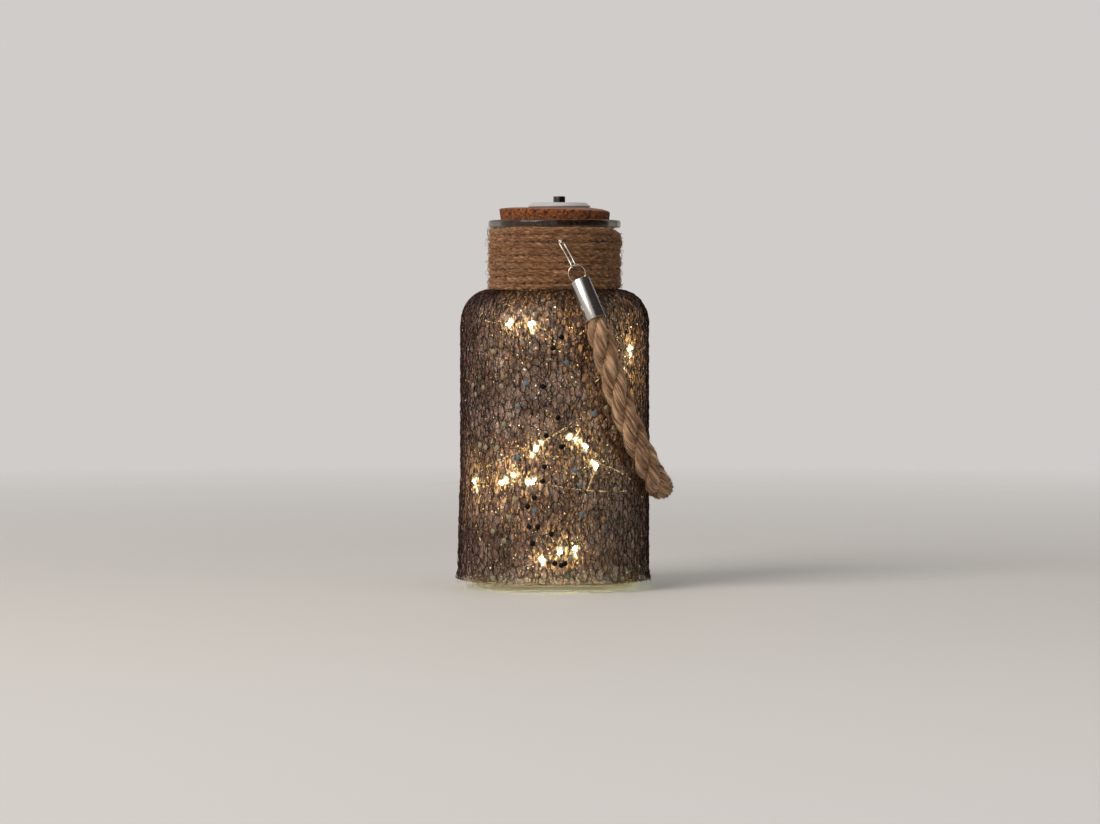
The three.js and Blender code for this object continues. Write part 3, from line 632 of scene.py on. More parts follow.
def net_cells_tree():
    """Irregular upright cells: the dual of a shaken triangle mesh on a tube, laid on the jar."""
    tree = Growth(
        "net_cells",
        Columns=112, Rows=27, Radius=0.052, Height=0.18, Shake=0.0027,
        Wander=0.0036, Loft=0.0016, Loose=0.0024, Thread_Radius=0.0002, Seed=1,
    )
    given = tree.given
    size = {"Radius": given["Radius"], "Depth": given["Height"], "fill_type": "NONE"}
    counts = {"Vertices": given["Columns"], "Side_Segments": given["Rows"]}
    tube = tree.add("GeometryNodeMeshCylinder", **counts, **size)
    reach = given["Shake"] * (1.0, 1.0, 1.5)
    shaken = tree.moved(tube, Offset=tree.random(reach * -1.0, reach))
    cells = tree.add("GeometryNodeDualMesh", tree.add("GeometryNodeTriangulate", shaken))
    return laid_on_jar(tree, tree.lines(4, cells), 260.0, 420.0, 0.6, 1.5)


def net_strands_tree():
    """Long upright strands that wander sideways, laid on the jar."""
    tree = Growth(
        "net_strands",
        Strands=96, Points=110, Radius=0.052, Height=0.18, Wander=0.0058,
        Loft=0.0022, Loose=0.0028, Thread_Radius=0.00018, Seed=1,
    )
    half = tree.given["Height"] / 2.0
    ends = [tree.point(z=end) for end in (half * -1.0, half)]
    upright = tree.add("GeometryNodeCurvePrimitiveLine", *ends)
    strands = tree.copies(tree.circle(tree.given["Strands"], tree.given["Radius"]), upright)
    real = tree.add("GeometryNodeRealizeInstances", strands)
    return laid_on_jar(tree, tree.resampled(real, tree.given["Points"]), 310.0, 260.0, 0.4, 1.6)


def glitter_tree():
    """Small flakes strewn over a surface, each tilted its own way, with a random tone."""
    tree = Growth(
        "glitter", Density=60000.0, Smallest=0.5, Largest=1.3, Size=0.0004, Tilt=0.6, Seed=1
    )
    strewn = tree.strewn()
    reach = tree.point(tree.given["Tilt"], tree.given["Tilt"], math.pi)
    turn = tree.leaned(strewn["Rotation"], tree.random(reach * -1.0, reach, 1.0))
    flake = tree.add("GeometryNodeFillCurve", tree.circle(5, tree.given["Size"]), mode="NGONS")
    scale = tree.random(tree.given["Smallest"], tree.given["Largest"], 2.0)
    flakes = tree.copies(strewn, flake, Rotation=turn, Scale=scale)
    return tree.end(tree.store(flakes, "INSTANCE", tone=tree.random(0.0, 1.0, 3.0)))


def sequin_tree():
    """A thin round sequin at each point, lying on the net with a slight tilt of its own."""
    tree = Growth("sequins", Radius=0.0015, Thickness=0.00012, Sides=14, Tilt=0.16, Seed=1)
    given = tree.given
    outward = tree.facing(tree.place() * (1.0, 1.0, 0.0))
    tilt = tree.point(given["Tilt"], given["Tilt"], 0.0)
    turn = tree.leaned(outward, tree.random(tilt * -1.0, tilt))
    size = {"Vertices": given["Sides"], "Radius": given["Radius"], "Depth": given["Thickness"]}
    disc = tree.add("GeometryNodeMeshCylinder", **size)
    points = tree.add("GeometryNodeMeshToPoints", given["Geometry"])
    return tree.end(tree.copies(points, disc, Rotation=turn))


def laid_strands_tree():
    """Strands twisted round a path, each with the ridges of its own yarns. The path's points
    carry a size, as a share of the full thickness."""
    tree = Growth(
        "laid_strands",
        Points=400, Strands=3, Lay=0.05, Lay_Radius=0.0036, Sides=24, Strand_Radius=0.0032,
        Yarns=8, Yarn_Depth=0.05, Yarn_Lay=-0.03, Uneven=0.045,
    )
    given = tree.given
    line = tree.lines(given["Points"])
    copies = tree.add(
        "GeometryNodeDuplicateElements", line, Amount=given["Strands"], domain="SPLINE"
    )
    strand, along, size = copies["Duplicate Index"], tree.along("Length"), tree.attribute("size")
    phase = (along / given["Lay"] + strand / given["Strands"]) * TAU
    normal = tree.add("GeometryNodeInputNormal")
    side = tree.math("CROSS_PRODUCT", tree.add("GeometryNodeInputTangent"), normal)
    away = normal * tree.math("COSINE", phase) + side * tree.math("SINE", phase)
    spread = tree.moved(copies, Offset=away * (given["Lay Radius"] * size))
    tilt = along / given["Yarn Lay"] * TAU
    twisted = tree.add("GeometryNodeSetCurveTilt", spread, Tilt=tilt)
    marked = tree.store(twisted, along=along, strand=strand)
    around = tree.along("Factor")
    circle = tree.store(tree.circle(given["Sides"], given["Strand Radius"]), around=around)
    ridge = tree.math("COSINE", around * given["Yarns"] * TAU)
    swell = tree.math("MULTIPLY_ADD", ridge, given["Yarn Depth"], 1.0)
    place = tree.place()
    ridged = tree.moved(circle, Position=place * swell)
    uneven = (1.0 - given["Uneven"], given["Uneven"] + 1.0)
    rough = tree.remap(tree.noise(place, 500.0, 3.0), 0.3, 0.7, *uneven)
    return tree.end(tree.add("GeometryNodeCurveToMesh", marked, ridged, size * rough, True))


def fuzz_tree():
    """Stray fibres that stand or lie off a surface: short bent hairs of three sides."""
    tree = Growth(
        "stray_fibres",
        Density=20000.0, Shortest=0.0015, Longest=0.005, Hair_Radius=0.00004,
        Least_Lean=0.9, Most_Lean=1.5, Seed=1,
    )
    given = tree.given
    strewn = tree.strewn()
    low = tree.point(given["Least Lean"], 0.0, -math.pi)
    high = tree.point(given["Most Lean"], 0.0, math.pi)
    turn = tree.leaned(strewn["Rotation"], tree.random(low, high, 1.0))
    hair = tree.add("GeometryNodeCurvePrimitiveLine", (0.0, 0.0, -0.15), (0.0, 0.0, 1.0))
    height = tree.parts(tree.place())["Z"]
    bend = height * height * -0.45
    hair = tree.moved(tree.resampled(hair, 5), Offset=tree.point(bend, 0.0, bend))
    length = tree.random(given["Shortest"], given["Longest"], 2.0)
    lines = tree.copies(strewn, hair, Rotation=turn, Scale=length)
    lines = tree.add("GeometryNodeRealizeInstances", lines)
    taper = tree.remap(tree.along("Factor"), 0.0, 1.0, 1.0, 0.35)
    return tree.end(tree.threads(lines, given["Hair Radius"], taper))


def fibre_lines_tree():
    """A thin fibre along each line."""
    tree = Growth("fibre_lines", Hair_Radius=0.0001)
    taper = tree.remap(tree.math("PINGPONG", tree.along("Factor"), 0.5), 0.0, 0.2, 0.3, 1.0)
    return tree.end(tree.threads(tree.lines(), tree.given["Hair Radius"], taper))


def string_lights_tree():
    """A drop-shaped light at each marked point of the string, in line with its wire."""
    tree = Growth("string_lights", Radius=0.001, Half_Length=0.002)
    radius, half = tree.given["Radius"], tree.given["Half Length"]
    turn = tree.facing(tree.add("GeometryNodeInputTangent"))
    drop = tree.add("GeometryNodeMeshUVSphere", Segments=14, Rings=10, Radius=1.0)
    marked = tree.math("GREATER_THAN", tree.attribute("light"), 0.5)
    scale = tree.point(radius, radius, half)
    return tree.end(tree.copies(tree.lines(), drop, Selection=marked, Rotation=turn, Scale=scale))


def cork_tree():
    """Cork grain: a fine uneven surface with pits."""
    tree = Growth("cork_grain", Grain=0.00016, Pit=0.0005, Seed=0.0)
    shifted = tree.place() + tree.point(tree.given["Seed"])
    grain = (tree.noise(shifted, 900.0, 3.0) - 0.5) * tree.given["Grain"]
    pits = tree.remap(tree.noise(shifted, 520.0, 1.0), 0.67, 0.8, 0.0, -1.0) * tree.given["Pit"]
    offset = tree.add("GeometryNodeInputNormal") * (grain + pits)
    return tree.end(tree.moved(tree.given["Geometry"], Offset=offset))


# Flares that the lights make in the net, each a short run of spots: turn and height as for on_net
FLARES = [
    [(-57, 62), (-57, 59), (-56, 56)], [(-34, 60.5), (-31, 62.5)], [(-26, 65)],
    [(-16, 61.5), (-12.5, 63)], [(-11, 80), (-13.5, 76.5), (-8, 83)],
    [(13, 85), (9, 86.5), (16.5, 83), (18.5, 80)], [(24, 72), (25.5, 69.5)],
    [(-8, 19), (-7, 17)], [(3, 24)], [(13, 24.5), (12.5, 21.5)], [(-29, 147.5), (-27, 150)],
    [(-15, 148), (-13.5, 145)], [(52, 134.5), (54, 131)], [(43, 120), (44, 117)],
]
# Where the net only catches some of their light: turn, height and strength
GLEAMS = [
    (6, 159, 0.5), (54, 145, 0.9), (62, 126, 0.9), (66, 104, 0.4), (12, 137, 1.1),
    (-24, 164, 0.4), (-66, 60, 0.9), (14, 84, 0.4), (-38, 118, 0.3), (-27, 40, 0.3),
]
LATER_SPOTS = 0.8
GLOW_STRETCH = 0.75


class Shade(Graph):
    """A group for materials, with named inputs, that gives numbers."""

    def __init__(self, name, gives, **inputs):
        outputs = {label: "NodeSocketFloat" for label in gives}
        super().__init__(new_group(name, "ShaderNodeTree", inputs, outputs))
        self.given = self.add("NodeGroupInput")


def lamp_glow_group():
    """How near a place on the net is to the lights behind it: the core of each flare, its halo,
    and the wide warm glow."""
    totals = {"Core": 0.0, "Halo": 0.0, "Wide": 0.0}
    shade = Shade("lamp_glow", totals, Core=0.0022, Halo=0.0095, Wide=0.03)
    place = shade.add("ShaderNodeTexCoord")["Object"]
    rough = shade.noise(place, 420.0, 3.0)["Color"] - HALF
    squeezed = (place + rough * 0.0055) * (1.0, 1.0, GLOW_STRETCH)
    spots = []
    for first, *others in FLARES:
        spots.append((first, 1.0, tuple(totals)))
        spots += [(spot, LATER_SPOTS, ("Core",)) for spot in others]
    spots += [((turn, height), strength, ("Wide",)) for turn, height, strength in GLEAMS]
    for spot, strength, labels in spots:
        x, y, z = on_net(*spot)
        gap = shade.math("DISTANCE", squeezed, (x, y, z * GLOW_STRETCH))
        for label in labels:
            near = shade.remap(gap, shade.given[label], 0.0)
            totals[label] = shade.math("ADD", totals[label], near * near * strength)
    return shade.close(**totals)


def crackle_group():
    """Crackled cells, upright and uneven: the lines between them, and a value for each cell."""
    shade = Shade(
        "crackle",
        ("Line", "Cell"),
        Vector=(0.0, 0.0, 0.0), Width=0.002, Height=0.005, Wander=0.001,
        Line=0.08, Seed=0.0,
    )
    given = shade.given
    place = given["Vector"] + shade.point(given["Seed"], given["Seed"])
    push = shade.noise(place, 420.0)["Color"] - HALF
    place = (place + push * given["Wander"]) / shade.point(given["Width"], given["Height"], 1.0)
    cell, edge = shade.cells(place, 1.0, voronoi_dimensions="2D")
    return shade.close(Line=shade.remap(edge, given["Line"], 0.0), Cell=cell)


def fibre_group():
    """Fibres that run along a strand: a shade from 0 to 1, patches of colour, and a height."""
    shade = Shade(
        "fibres",
        ("Shade", "Patch", "Height"),
        Along=0.0, Around=0.0, Strand=0.0, Fineness=6.0, Length=0.012,
    )
    given = shade.given
    circle = shade.polar(given["Fineness"], given["Around"] * TAU, 0.0)
    height = given["Along"] / given["Length"] + given["Strand"] * 17.0
    place = circle + shade.point(z=height)
    fine = shade.noise(place, 2.2, 3.0, 0.62)
    streak = shade.noise(place * (0.4, 0.4, 0.8), 2.0)
    coarse = shade.noise(place * (0.14, 0.14, 0.5), 2.0)
    both = shade.math("MULTIPLY_ADD", streak, 0.62, fine * 0.38)
    patch = shade.remap(coarse, 0.36, 0.62)
    return shade.close(Shade=shade.remap(both, 0.37, 0.6), Patch=patch, Height=both)


def wear_group():
    """Handled metal or plastic: fine cloudy smears for roughness and faint specks."""
    shade = Shade("wear", ("Roughness", "Speck"), Scale=300.0, Smooth=0.1, Rough=0.3)
    given = shade.given
    place = shade.add("ShaderNodeTexCoord")["Object"]
    cloud = shade.noise(place, given["Scale"], 4.0, 0.6)
    fine = shade.noise(place, given["Scale"] * 6.0, 1.0)
    rough = shade.remap(cloud, 0.3, 0.7, given["Smooth"], given["Rough"])
    return shade.close(Roughness=rough, Speck=shade.remap(fine, 0.62, 0.8))


LAMP_GLOW = lamp_glow_group()
CRACKLE = crackle_group()
FIBRES = fibre_group()
WEAR = wear_group()


# Finishes
class Finish(Graph):
    """A material, with its plain values set on the shader's own sockets."""

    def __init__(self, name, **plain):
        self.made = bpy.data.materials.new(name)
        self.made.use_nodes = True
        super().__init__(self.made.node_tree)
        self.shader = self.tree.nodes["Principled BSDF"]
        self.paint(**plain)

    def paint(self, **values):
        for label, value in values.items():
            self.feed(self.shader.inputs[spaced(label)], value)

    def place(self):
        return self.add("ShaderNodeTexCoord")["Object"]

    def group(self, tree, **values):
        return self.add("ShaderNodeGroup", node_tree=tree, **values)

    def read(self, name):
        return self.add("ShaderNodeAttribute", attribute_name=name)["Fac"]

    def light(self, code, amount):
        return self.math("SCALE", tone(code)[:3], Scale=amount)

    def lit(self, light):
        """Light that the surface shows, but that no ray looks for."""
        self.paint(Emission_Color=light, Emission_Strength=1.0)
        self.made.cycles.emission_sampling = "NONE"

    def glowing(self, share, core, halo, wide):
        """Light of the string that the net catches: white at each flare, gold round it, brown
        further."""
        glow = self.group(LAMP_GLOW)
        near = self.light("fff0c6", glow["Core"] * core)
        gold = self.light("ffdf94", glow["Halo"] * halo * share)
        brown = self.light("e6a560", glow["Wide"] * wide * share)
        self.lit(near + (gold + brown))
        return glow

    def wear_and_sheen(self, scale, smooth, rough, plain, speck):
        """Smears in the roughness, and specks in the colour."""
        wear = self.group(WEAR, Scale=scale, Smooth=smooth, Rough=rough)
        colour = self.mix(wear["Speck"], plain, speck)
        self.paint(Base_Color=colour, Roughness=wear["Roughness"])

    def bumped(self, height, distance, strength=1.0):
        named = {"Height": height, "Distance": distance, "Strength": strength}
        self.paint(Normal=self.add("ShaderNodeBump", **named))

    def blended(self, factor, other):
        """Blends the shader into another one."""
        both = self.add("ShaderNodeMixShader", factor, Value(self, self.shader), other)
        self.feed(self.tree.nodes["Material Output"].inputs["Surface"], both)


def glass_finish():
    """Clear soda glass, a shade darker in its rim; its thick foot carries some of the lights'
    shine."""
    look = Finish("clear_glass", Roughness=0.03, IOR=1.46, Transmission_Weight=1.0)
    place = look.place()
    stretched = place * (1.0, 1.0, 0.25)
    clear_wall = look.mix(look.noise(stretched, 60.0), "d3dad3", "e2e8e2")
    height = look.parts(place)["Z"]
    rim = look.remap(height, RIM_FOOT - 0.5 * MM, RIM_FOOT + 0.5 * MM)
    look.paint(Base_Color=look.mix(rim, clear_wall, "827f70"))
    look.lit(look.light("ffe6ac", look.remap(height, 7 * MM, 1 * MM, 0.0, 0.06)))
    look.bumped(look.noise(stretched, 26.0, 1.0), 0.0012, 0.25)
    clear = look.add("ShaderNodeBsdfTransparent", "eef6f1")
    look.blended(look.add("ShaderNodeLightPath")["Is Shadow Ray"], clear)
    return look.made


def net_gauze_finish():
    """The thin film of the net between its threads: see-through cells, each of its own shade."""
    look = Finish("net_gauze", Roughness=0.5, Metallic=0.1)
    flat = look.add("ShaderNodeUVMap", uv_map="surface")
    sizes = {"Width": 0.0026, "Height": 0.005, "Wander": 0.0026, "Line": 0.05}
    wide = look.group(CRACKLE, Vector=flat, **sizes)
    fine = look.group(CRACKLE, Vector=flat, Width=0.0009, Height=0.002, Line=0.05, Seed=0.41)
    mottle = look.noise(flat * (700.0, 260.0, 1.0), 1.0)
    cloud = look.noise(flat, 60.0, 3.0)
    cell = look.math("MULTIPLY_ADD", wide["Cell"], 0.5, mottle * 0.5)
    base = look.mix(look.remap(cell, 0.25, 0.7), "84513f", "dfb6a5")
    base = look.mix(look.remap(cloud, 0.38, 0.58, 0.0, 0.85), base, "642e16")
    # Painted shade: the film is painted darker up the shoulder, where the winding shades it
    level = look.parts(look.place())["Z"]
    shoulder = look.remap(level, SHOULDER_START + 4 * MM, SHOULDER_TOP, 0.0, 0.85)
    base = look.mix(shoulder, base, "3a1c0e")
    look.paint(Base_Color=look.mix(wide["Line"], base, "22130b"))
    glow = look.glowing(look.remap(fine["Cell"], 0.66, 0.88, 0.03, 3.2), 8.0, 0.7, 0.25)
    fill = look.remap(mottle, 0.35, 0.65, 0.4, 0.7)
    fill = look.math("ADD", fill, glow["Core"], use_clamp=True)
    look.paint(Alpha=look.math("MAXIMUM", wide["Line"], fill))
    return look.made


def net_thread_finish(name, dark, middle, light):
    look = Finish(name, Roughness=0.45, Metallic=0.15, Specular_IOR_Level=0.25)
    patch = look.noise(look.place() * (1.0, 1.0, 0.4), 460.0, 3.0, 0.6)
    colour = look.mix(look.remap(patch, 0.42, 0.58), dark, middle)
    look.paint(Base_Color=look.mix(look.remap(patch, 0.6, 0.74), colour, light))
    look.glowing(look.remap(patch, 0.53, 0.64, 0.02, 1.7), 7.0, 0.62, 0.15)
    return look.made


def glitter_finish():
    """Flakes from brown to pale gold, a few of which spark as if they faced a light."""
    look = Finish("net_glitter", Roughness=0.26, Metallic=0.9)
    part = look.read("tone")
    colour = look.mix(look.remap(part, 0.0, 0.6), "6b4c32", "e0c48e")
    look.paint(Base_Color=look.mix(look.remap(part, 0.8, 0.85), colour, "f4efe6"))
    glow = look.group(LAMP_GLOW)
    amount = look.math("MULTIPLY_ADD", glow["Halo"], 3.0, glow["Wide"] * 2.2)
    amount = amount * look.remap(part, 0.45, 0.9) + look.remap(part, 0.9, 0.96, 0.0, 1.1)
    look.lit(look.light("ffd98c", amount))
    return look.made


def sequin_finish():
    look = Finish("net_sequins", Roughness=0.6, Specular_IOR_Level=0.12)
    part, colour = look.read("tone"), "060504"
    for step, code in ((0.3, "9d9478"), (0.6, "9c7850"), (0.9, "6f8388")):
        colour = look.mix(look.remap(part, step, step + 0.01), colour, code)
    cloud = look.remap(look.noise(look.place(), 500.0), 0.4, 0.7, 0.0, 0.4)
    look.paint(Base_Color=look.mix(cloud, colour, "2a1f17"))
    return look.made


def jute_finish(name, dark, middle, light, fineness):
    """Spun jute: fibres that follow the strands, patchy in colour, dull and hairy."""
    look = Finish(name, Roughness=0.9, Sheen_Weight=0.15, Sheen_Roughness=0.5)
    read = {label: look.read(label.lower()) for label in ("Along", "Around", "Strand")}
    fibres = look.group(FIBRES, Fineness=fineness, **read)
    colour = look.mix(fibres["Shade"], dark, middle)
    colour = look.mix(fibres["Patch"] * fibres["Shade"], colour, light)
    stain = look.remap(look.noise(look.place(), 150.0, 3.0), 0.42, 0.7, 0.0, 0.45)
    look.paint(Base_Color=look.mix(stain, colour, dark))
    look.bumped(fibres["Height"], 0.0009)
    return look.made


def hair_finish(name, dark, light):
    look = Finish(name, Roughness=0.8)
    patch = look.remap(look.noise(look.place(), 300.0), 0.3, 0.7)
    look.paint(Base_Color=look.mix(patch, dark, light))
    return look.made


def metal_finish(name, dark, light, smooth, rough):
    """Plated or polished steel with faint smears."""
    look = Finish(name, Metallic=1.0)
    look.wear_and_sheen(260.0, smooth, rough, light, dark)
    return look.made


def light_wire_finish():
    """Lacquered copper wire that carries some of its lights' shine."""
    look = Finish("light_wire", Metallic=1.0)
    look.wear_and_sheen(260.0, 0.2, 0.36, "e8c48a", "a87a3c")
    uneven = look.remap(look.noise(look.place(), 130.0), 0.42, 0.7, 0.1, 3.4)
    look.lit(look.light("ffe2a0", uneven))
    return look.made


def plastic_finish(name, colour, fleck, smooth, rough, coat=0.0):
    """Moulded plastic: faint flecks and an even fine texture."""
    look = Finish(name, Coat_Weight=coat)
    look.wear_and_sheen(420.0, smooth, rough, colour, fleck)
    look.bumped(look.noise(look.place(), 2400.0), 0.00004, 0.4)
    return look.made


def cork_finish():
    look = Finish("cork", Roughness=0.86)
    place = look.place()
    warped = place + look.noise(place, 500.0)["Color"] * 0.0012
    shade, edges = look.cells(warped, 950.0)
    colour = look.mix(shade, "5c2b0c", "bd6d33")
    colour = look.mix(look.remap(shade, 0.8, 0.92), colour, "351607")
    crack = look.remap(edges, 0.09, 0.0)
    colour = look.mix(crack * 0.7, colour, "46200e")
    pits = look.remap(look.noise(place, 520.0, 1.0), 0.66, 0.74)
    colour = look.mix(pits, colour, "241006")
    # Painted sheen: faces that look upwards are painted paler and greyer, as where the light falls
    # on the top
    upward = look.parts(look.add("ShaderNodeNewGeometry")["Normal"])["Z"]
    wear_and_sheen = look.remap(upward, 0.75, 0.95, 0.0, 0.55)
    look.paint(Base_Color=look.mix(wear_and_sheen, colour, "a08372"))
    look.bumped(shade - crack, 0.0003, 0.6)
    return look.made


def light_finish():
    look = Finish("lit_lights", Roughness=0.2, Emission_Strength=80.0)
    cloud = look.noise(look.place(), 900.0, 1.0)
    look.paint(Base_Color=look.mix(cloud, "fff1cc", "ffe2a0"))
    look.paint(Emission_Color=look.mix(cloud, "fff4dc", "ffe9b4"))
    return look.made


def board_finish():
    look = Finish("green_board", Roughness=0.4, Coat_Weight=0.3)
    colours = {"Color1": "1c5a33", "Color2": "1f6338", "Mortar": "3b7d4c"}
    tracks = look.add("ShaderNodeTexBrick", Vector=look.place(), Scale=420.0, **colours)
    look.paint(Base_Color=tracks)
    return look.made


FINISHES = {
    "glass": glass_finish(),
    "gauze": net_gauze_finish(),
    "cells": net_thread_finish("net_cells", "100603", "301409", "8c5f3c"),
    "strands": net_thread_finish("net_strands", "200a05", "541f10", "93603f"),
    "glitter": glitter_finish(),
    "sequins": sequin_finish(),
    "twine": jute_finish("jute_twine", "45260f", "9c6236", "dba878", 3.0),
    "twine_hair": hair_finish("jute_twine_hair", "7a4b26", "d09c66"),
    "rope": jute_finish("jute_rope", "4c2c19", "a3744f", "ecc498", 6.0),
    "rope_hair": hair_finish("jute_rope_hair", "85603f", "d0ac82"),
    "wire": metal_finish("steel_wire", "8c8478", "cfc9bd", 0.16, 0.3),
    "ring": metal_finish("ring_steel", "b49a78", "e6d6bd", 0.12, 0.26),
    "polished": metal_finish("polished_steel", "b0a9a5", "c4bfbb", 0.22, 0.26),
    "cork": cork_finish(),
    "white": plastic_finish("white_plastic", "bcbcbf", "a6a4a6", 0.28, 0.4),
    "black": plastic_finish("black_plastic", "0d0d0e", "202022", 0.14, 0.24, 0.6),
    "dark": plastic_finish("dark_plastic", "1d1d1f", "343437", 0.4, 0.55),
    "board": board_finish(),
    "cell": metal_finish("cell_steel", "9c9c9a", "c8c8c6", 0.2, 0.34),
    "contact": metal_finish("contact_metal", "b08d57", "d6b782", 0.2, 0.36),
    "rubber": plastic_finish("rubber", "211e1b", "38332e", 0.7, 0.85),
    "wire_gold": light_wire_finish(),
    "gilt": metal_finish("gilt_thread", "5c3d1e", "c9ab6c", 0.25, 0.5),
    "lit": light_finish(),
}


def dressed(piece, finish):
    piece.data.materials.clear()
    piece.data.materials.append(FINISHES[finish])
    return piece


LAID_STRANDS = laid_strands_tree()
FUZZ = fuzz_tree()


# Pieces of the net
def net_gauze():
    """The net's continuous film, with its own flat measure in metres as a UV map."""
    section = net_section(SEAT_GAP + SLEEVE_WALL * 0.35)
    fine = refined(section, 3 * MM) + [section[-1]]
    sides = 144
    mesh = turned("net_gauze", fine, sides)
    along = measured(np.array(fine))
    around = TAU * JAR_RADIUS
    layer = mesh.uv_layers.new(name="surface")
    for face in mesh.polygons:
        corners = [mesh.loops[i].vertex_index for i in face.loop_indices]
        columns = [corner % sides for corner in corners]
        wraps = max(columns) - min(columns) > 1
        for i, corner, column in zip(face.loop_indices, corners, columns):
            turn = (column + sides * (wraps and column == 0)) / sides
            layer.data[i].uv = (turn * around, along[corner // sides])
    mesh.shade_smooth()
    return dressed(shown("net_gauze", mesh), "gauze")


def net_threads():
    """Two layers of cells and one of long strands."""
    cells = net_cells_tree()
    layers = [
        ("net_cells_outer", cells, "cells", 1.8 * MM, {"Columns": 98, "Rows": 34, "Seed": 3}),
        ("net_cells_inner", cells, "cells", 1.1 * MM, {"Columns": 84, "Rows": 30, "Seed": 8}),
        ("net_strands", net_strands_tree(), "strands", 1.6 * MM, {"Seed": 5}),
    ]
    pieces = []
    for name, tree, finish, offset, values in layers:
        section = path_mesh("net_section", [(r, 0, z) for r, z in net_section(offset)])
        values |= {"Radius": SLEEVE_RADIUS, "Height": section_length(offset) - 0.1 * MM}
        pieces.append(grow(name, section, tree, finish, **values))
    return pieces


# Sequins that show at the front, by kind: turn and height as for on_net
FRONT_SEQUINS = {
    0.0: [
        (4, 141), (-1, 135), (-7, 114), (2, 97), (-5, 87), (4, 81), (-6, 70), (-7, 62), (-12, 53),
        (-16, 48), (-15, 37), (-10, 37), (-2, 33), (-13, 28), (0, 17), (4, 16), (6, 17),
    ],
    0.5: [
        (-57, 114), (-47, 113), (-33, 114), (-54, 109), (-27, 98), (-31, 93), (-39, 133),
        (-36, 80), (-50, 81), (-45, 80), (-24, 52), (-28, 42), (-39, 34), (-31, 29), (-39, 8),
        (-31, 6), (24, 51), (38, 57), (9, 20), (32, 102), (37, 91),
    ],
    0.8: [(-32, 119), (-33, 136), (30, 41), (28, 82), (20, 114), (28, 97)],
    1.0: [
        (-17, 116), (24, 99), (7, 127), (-22, 103), (-22, 75), (12, 68), (16, 44), (-12, 46),
        (15, 60),
    ],
}
REST_OF_SEQUINS = 70
KINDS_OF_REST = [0.0, 0.0, 0.5, 0.5, 0.8, 1.0]
SEQUINS_OUT = (SLEEVE_RADIUS + 1.7 * MM) / SLEEVE_RADIUS


def sequin_places():
    """Sequins where they show at the front, and strewn ones round the rest of the net."""
    draw = random.Random(11)
    places, tones = [], []
    for kind, spots in FRONT_SEQUINS.items():
        for x, y, z in (on_net(*spot) for spot in spots):
            places.append((x * SEQUINS_OUT, y * SEQUINS_OUT, z))
            tones.append(kind)
    for _ in range(REST_OF_SEQUINS):
        places.append(on_net(draw.uniform(66, 294), draw.uniform(14, 146)))
        tones.append(draw.choice(KINDS_OF_REST))
    return path_mesh("sequin_places", places, tone=tones)


def laid(name, line, finish, sizes=None, **values):
    """Strands laid round a line of points."""
    carrier = path_mesh(name + "_line", line, size=sizes or [1.0] * len(line))
    return grow(name, carrier, LAID_STRANDS, finish, **values)


TWO_THREADS = {"Strands": 2, "Sides": 6, "Yarns": 1, "Yarn_Depth": 0.0}
HEM_POINTS = 720


def hem_thread():
    """The twisted gilt thread along the hem, and the frayed ends that hang from it."""
    radius = JAR_RADIUS + HEM_FLARE + 0.9 * MM
    places = []
    for i in range(HEM_POINTS):
        angle = TAU * i / HEM_POINTS
        lift = 0.25 * math.sin(7 * angle + 1) + 0.2 * math.sin(13 * angle)
        places.append(round_place(radius, angle, HEM_HEIGHT + (0.5 + lift) * MM))
    places.append(places[0])
    size = {"Points": 900, "Lay": 3 * MM, "Lay_Radius": 0.16 * MM, "Strand_Radius": 0.2 * MM}
    thread = laid("net_hem_thread", places, "gilt", **size, **TWO_THREADS)
    band = turned("hem_band", [(radius, HEM_HEIGHT), (radius, HEM_HEIGHT + 2.5 * MM)], 120)
    size = {"Shortest": 1.5 * MM, "Longest": 5 * MM, "Hair_Radius": 0.11 * MM}
    values = {"Density": 520000.0, "Least_Lean": 0.7, "Seed": 17}
    return thread, grow("net_hem_frays", band, FUZZ, "strands", **size, **values)


# Pieces of twine and rope
TWINE_LOOK = 4.7 * MM
TWINE_LOOK_RADIUS = 34.9 * MM
TWINE_PLY = TWINE_LOOK / 2 * 0.5
TWINE_FIRST = WINDING_FOOT + 1.6 * MM
TWINE_LAST = WINDING_TOP - 1.8 * MM
TWINE_PARTING = 4.6 * MM
PARTED_TO = 121
PARTING_FADE = 24
ROPE_LOOK = 14.1 * MM
ROPE_STRAND = ROPE_LOOK / 2 * 0.52
TWINE_POINTS, ROPE_POINTS, STRING_POINTS = 1600, 420, 1500
# Loose fibres: how many, the points of each, and the heights that they stay between, in millimetres
LOOSE_FIBRES, FIBRE_POINTS, FIBRES_LOW, FIBRES_HIGH = 620, 16, 166.5, 202


def waved(turn, *waves):
    """An uneven offset. Each wave has a size in millimetres, a rate in a turn, and a start."""
    return sum(size * math.sin(TAU * turn * rate + start) for size, rate, start in waves) * MM


